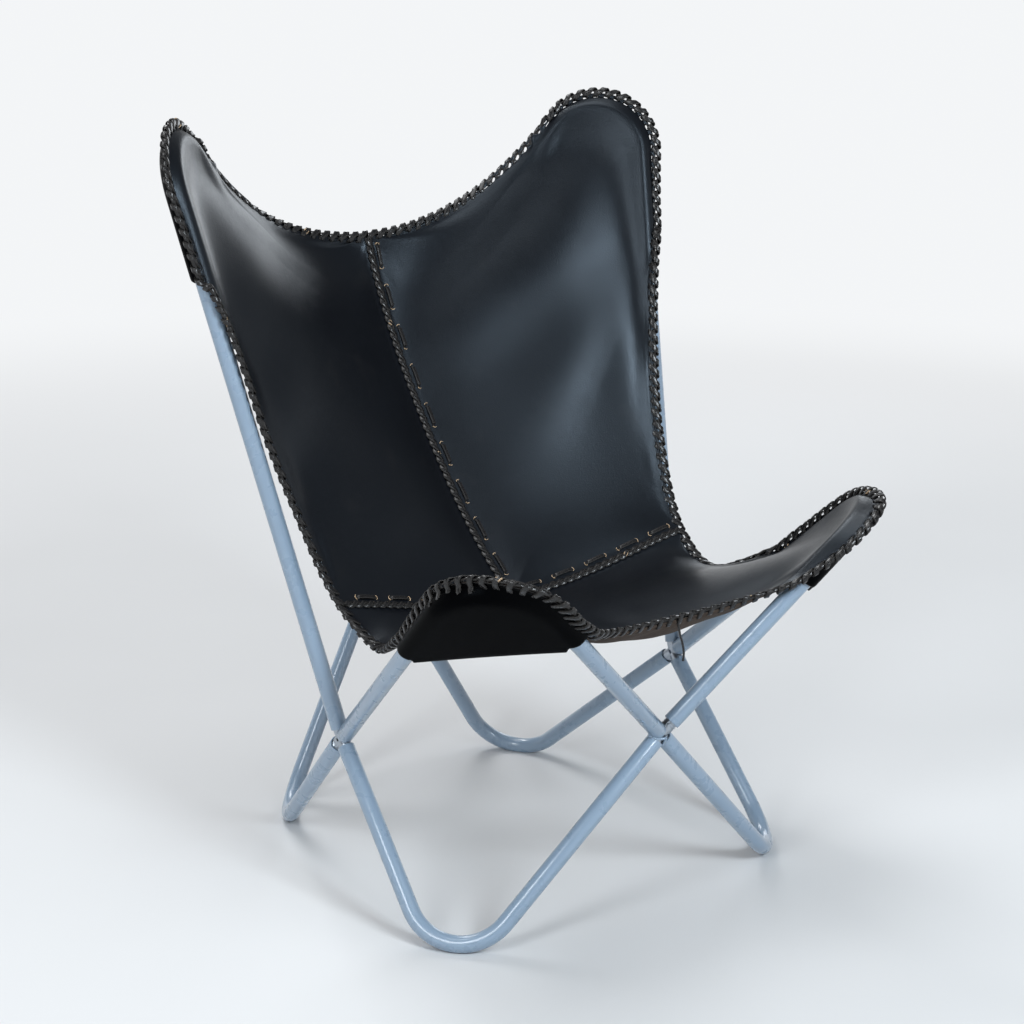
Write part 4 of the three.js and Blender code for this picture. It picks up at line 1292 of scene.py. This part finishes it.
def laced(edge, path, backwards, outer):
    """Line and facing of a lace along an edge, its outer turns following the pocket's slope."""
    stitches = len(edge["at"]) // 2
    turns = 360 if path is STITCH_PATH else 0
    knots = [(k + u, o, n, a - turns * k) for k in range(stitches) for u, o, n, a in path]
    knots = knots + chance.uniform(-1, 1, (len(knots), 4)) * HAND
    count = len(knots) * FINENESS
    along, out, height, turn = through(knots, np.linspace(0, 1, count), even=True).T
    length = edge["at"][-1] + edge["at"][0]
    s = along / stitches * length
    along_edge = length - s if backwards else s
    place, outward, lean, layer, hole, flange, slope = edge_frame(edge, along_edge)
    outside = height < 0
    reach = hole * np.where(outside, 1 + (outer - 1) * layer, 1) + HOLE_SPREAD[1]
    out = np.where(out < 0, out * reach, out)
    past = np.where(outside, np.maximum(0, -out - flange), 0)
    out = out + past * (1 - np.cos(slope))
    height = height * (LAYER_OFFSET * layer + LACE_SEAT) - past * np.sin(slope)
    turn = np.radians(turn) + np.where(past > 0, slope, 0)
    facing = outward * np.cos(turn)[:, None] + lean * np.sin(turn)[:, None]
    return place + outward * out[:, None] + lean * height[:, None], facing


for part, edge in (("back", back_edge), ("seat", seat_edge)):
    for side in ("right", "left"):
        left = side == "left"
        ribbons = []
        for path, width in ((STITCH_PATH, LACE_WIDTH), (RUNNER_PATH, RUNNER_WIDTH)):
            centre, facing = laced(edge, path, left, POCKET_HOLE[part])
            ribbons.append(ribbon(flip(centre, left), flip(facing, left), width))
        node = f"edge_lacing_{part}_{side}"
        piece = lace_piece(f"edge_lace_{part}_{side}", ribbons, node)
        print(piece.name, len(piece.data.polygons), "faces")

# %% [markdown]
# ## Lacing the seams
# Two strands cross over and under each other along each seam, on both sides of the leather, so that
# a seam reads as a chain of short links. Beside the back seam and above the seat seam runs a line
# of long stitches: a strip of lace that dips into a hole at each end, with a raw tan lip.

# %% Seam plaits
LINK = 11
PLAIT_HALF_WIDTH, PLAIT_RISE = 2.9, 0.9
PLAIT_WIDTH, PLAIT_THICK = 4.6, 1.5
PLAIT_SEAT = LEATHER / 2 + PLAIT_THICK / 2 + PLAIT_RISE
PLAIT_STEP = 1.1
PLAIT_TILT = 0.45
SEAM_STEPS = 500
BACK_ENDS, SEAT_ENDS = (3, 4), (0, 3)


def even_seam(curve, way_of, start, end):
    """Places, ways and sitter's sides at even steps along a seam, between two lengths along it."""
    t = np.linspace(0, 1, SEAM_STEPS)
    place = seam_at(curve, way_of, t)[0]
    s = lengths_along(place)
    at = np.arange(start, s[-1] - end, PLAIT_STEP)
    pick = np.interp(at, s, t)
    return at, *seam_at(curve, way_of, pick)


def plait(at, place, way, lean):
    """Two strands that cross along a seam, on both sides of the leather."""
    ribbons = []
    for face in (1, -1):
        for strand in (0, math.pi):
            turn = (at / LINK * math.pi + strand)[:, None]
            sway, rise = np.sin(turn), np.cos(turn)
            lift = lean * face * (PLAIT_SEAT + PLAIT_RISE * rise)
            centre = place + way * sway * PLAIT_HALF_WIDTH + lift
            facing = unit(lean * face + way * sway * PLAIT_TILT)
            ribbons.append(ribbon(centre, facing, PLAIT_WIDTH, PLAIT_THICK))
    return ribbons


back_line = even_seam(back_seam, across, *BACK_ENDS)
lace_piece("seam_lace_back", plait(*back_line), "seam_lacing_back")
half_line = even_seam(seat_seam, into_back, *SEAT_ENDS)
whole_line = [np.concatenate([-half_line[0][:0:-1], half_line[0]])]
whole_line += [np.vstack([flip(v[:0:-1], True), v]) for v in half_line[1:]]
lace_piece("seam_lace_seat", plait(*whole_line), "seam_lacing_seat")
print("seam links:", round(back_line[0][-1] / LINK), round(2 * half_line[0][-1] / LINK))

# %% Onto the leather
DROP_FROM, DROP_REACH = 25, 60


def surface_of(*pieces):
    """A ray-cast tree of pieces, in millimetres of the drawing frame."""
    points, faces = [], []
    for piece in pieces:
        start = len(points)
        points += [Vector(np.array(v.co) / MM - CHAIR_SHIFT) for v in piece.data.vertices]
        faces += [tuple(start + i for i in face.vertices) for face in piece.data.polygons]
    return BVHTree.FromPolygons(points, faces)


def seated(tree, points, lean):
    """Points dropped onto the leather, against the sitter's side."""
    found = []
    for point, up in zip(points, lean):
        hit = tree.ray_cast(Vector(point + up * DROP_FROM), Vector(-up), DROP_REACH)[0]
        found.append(point if hit is None else np.array(hit))
    return np.array(found)


# %% Long stitches
BACK_STITCHES = [(12 + 52 * k, 38.5 + 52 * k) for k in range(9)]
SEAT_STITCHES = [(-219 + 47.5 * k, -194 + 47.5 * k) for k in range(10)]
STITCH_ASIDE = 11
STRIP_WIDTH, STRIP_THICK = 4.6, 1.3
STRIP_PATH = [
    *((0.0, -1.4), (0.06, 0.4), (0.16, 1.5), (0.5, 1.75)),
    *((0.84, 1.5), (0.94, 0.4), (1.0, -1.4)),
]
STRIP_SHARES = np.linspace(0, 1, 25)
PUNCH_RADIUS, PUNCH_SIDES = 2.7, 14
PLUG = [(-0.4, PUNCH_RADIUS), (0.18, PUNCH_RADIUS)]
LIP_TURN = np.linspace(-1.25, 1.25, 9)[:, None]
LIP_RISE, LIP_WIDTH, LIP_THICK = 0.3, 0.9, 0.8
CUT_FINISH, HOLE_SHADE_FINISH, TAN_FINISH = 1, 2, 3


def hole_and_lip(centre, along, up):
    """A dark plug that paints the shade of a punched hole, and the raw lip at its far side."""
    plug = turned(centre, up, PLUG, PUNCH_SIDES, along)
    arc = np.cos(LIP_TURN) * along + np.sin(LIP_TURN) * np.cross(up, along)
    line = centre + arc * (PUNCH_RADIUS + LIP_RISE) + up * LIP_RISE
    lip = ribbon(line, np.tile(up, (len(line), 1)), LIP_WIDTH, LIP_THICK)[:2]
    return plug, lip


def long_stitches(name, line, spans, tree):
    """Strips of lace beside a seam, with a dark plug of painted hole shade and a raw lip at each
    end.
    """
    at, *tables = line
    shapes, finish = [], []
    for first, last in spans:
        s = np.linspace(first, last, len(STRIP_SHARES))
        place, way, up = (sampled(s, at, table) for table in tables)
        ground = seated(tree, place + way * STITCH_ASIDE, up)
        share, height = through(STRIP_PATH, STRIP_SHARES).T
        ground = sampled(share, STRIP_SHARES, ground)
        *strip, cuts = ribbon(ground + up * height[:, None], up, STRIP_WIDTH, STRIP_THICK)
        shapes.append(strip)
        finish += [CUT_FINISH * c for c in cuts]
        for end, sign in ((0, -1), (-1, 1)):
            along = unit(ground[-1] - ground[0]) * sign
            plug, lip = hole_and_lip(ground[end], along, up[end])
            shapes += [plug, lip]
            finish += [HOLE_SHADE_FINISH] * len(plug[1]) + [TAN_FINISH] * len(lip[1])
    piece = mesh_piece(name, *joined(shapes), (lace, cut, hole_shade_finish, tan), LACE_TURN)
    piece.data.polygons.foreach_set("material_index", finish)
    print(name, len(spans), "stitches")
    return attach(piece, "root")


right_back, both_backs = surface_of(panels["right"]), surface_of(panels["right"], panels["left"])
long_stitches("long_stitches_back", back_line, BACK_STITCHES, right_back)
long_stitches("long_stitches_seat", whole_line, SEAT_STITCHES, both_backs)

# %% [markdown]
# ## The crossings
# The tube ends are plugged over thinner steel spigots, which are welded together in the middle. A
# turned spigot shows bright where a tube stops short of it. Where two tubes meet tightly, a rippled
# bead of painted weld fills the notch between them.

# %% Spigots
SPIGOT_PROFILE = [
    *((2, 6.6), (9, 7.5), (12, 7.5), (12.3, 7), (12.9, 7), (13.2, 7.5)),
    *((15, 7.5), (15.3, 7), (15.9, 7), (16.2, 7.5), (44, 7.5), (45, 6.5)),
]
SPIGOT_SIDES, SPIGOT_TURN = 28, 35
ASKEW = (0.3, 0.5, 0.8)
CROSSINGS = {
    "front": (FRONT_CROSSING, ("front_foot", "front_horn")),
    "back": (BACK_CROSSING, ("rear_foot", "rear_horn")),
    "right": (SIDE_CROSSING, None),
    "left": (SIDE_CROSSING, None),
}
for name, (place, pair) in CROSSINGS.items():
    left = name == "left"
    centre = flip(np.array(place, float), left)
    if pair:
        ways = [flip(-bends[tube].arms[1], mirrored) for tube in pair for mirrored in (False, True)]
    else:
        ways = [flip(-bend.arms[0], left) for bend in bends.values()]
    bars = [
        turned(centre, way, SPIGOT_PROFILE, SPIGOT_SIDES, unit(np.cross(way, ASKEW)))
        for way in ways
    ]
    spigots = mesh_piece(f"spigots_{name}", *joined(bars), (steel,), SPIGOT_TURN)
    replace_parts(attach(spigots, "root"), f"cross_connector_{name}")
    print(spigots.name, len(bars), "bars")

# %% Weld beads
BEAD_RADIUS, BEAD_RIPPLE, BEAD_PITCH = 1.5, 0.3, 2.1
BEAD_POINTS = 60


def bead_line(centre, first, second):
    """The line along which two tubes meet, seen from the notch between them."""
    half = math.acos(float(first @ second)) / 2
    toward, square = unit(first + second), unit(np.cross(first, second))
    turn = np.linspace(-math.pi / 2, math.pi / 2, BEAD_POINTS)[:, None]
    deep = np.cos(turn) * toward * TUBE_RADIUS / math.sin(half)
    return centre + deep + np.sin(turn) * square * TUBE_RADIUS


def weld_bead(name, line):
    """A rippled bead along a line: a round curve whose radius goes up and down."""
    bead = round_line(name, placed(line), BEAD_RADIUS * MM)
    for knot, at in zip(bead.data.splines[0].points, lengths_along(line)):
        knot.radius = 1 + BEAD_RIPPLE * math.sin(2 * math.pi * at / BEAD_PITCH)
    select_only(bead)
    bpy.ops.object.convert(target="MESH")
    bead = bpy.context.object
    bpy.ops.object.shade_smooth()
    bead.data.materials.append(paint.material)
    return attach(bead, "root")


front = np.array(FRONT_CROSSING, float)
foot, horn = -bends["front_foot"].arms[1], -bends["front_horn"].arms[1]
weld_bead("weld_front_feet", bead_line(front, foot, flip(foot, True)))
weld_bead("weld_front_left", bead_line(front, flip(foot, True), flip(horn, True)))
print("weld beads:", BEAD_POINTS, "points each")

# %% [markdown]
# ## What is soft
# Panels and pockets were cut flat and are held stretched, and the lace end hangs. The flat sizes
# and areas of the sheets are listed here, and the skin area of each sheet is printed.

# %% Leather sheets
SHEETS = {
    "back": ((0.4, 0.62), 0.166, "rear_horn"),
    "rear_pocket": ((0.13, 0.17), 0.0125, "rear_horn"),
    "front_pocket": ((0.16, 0.24), 0.022, "front_horn"),
}
for name, (flat, area, horn) in SHEETS.items():
    for side in ("right", "left"):
        piece = bpy.data.objects[f"{name}_{side}" if name == "back" else f"{name}_{side}_cover"]
        print(piece.name, "skin", round(sum(p.area for p in piece.data.polygons) / 2, 4), "m2")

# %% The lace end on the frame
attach(lace_end, "root")
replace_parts(lace_end, "lace_tail")
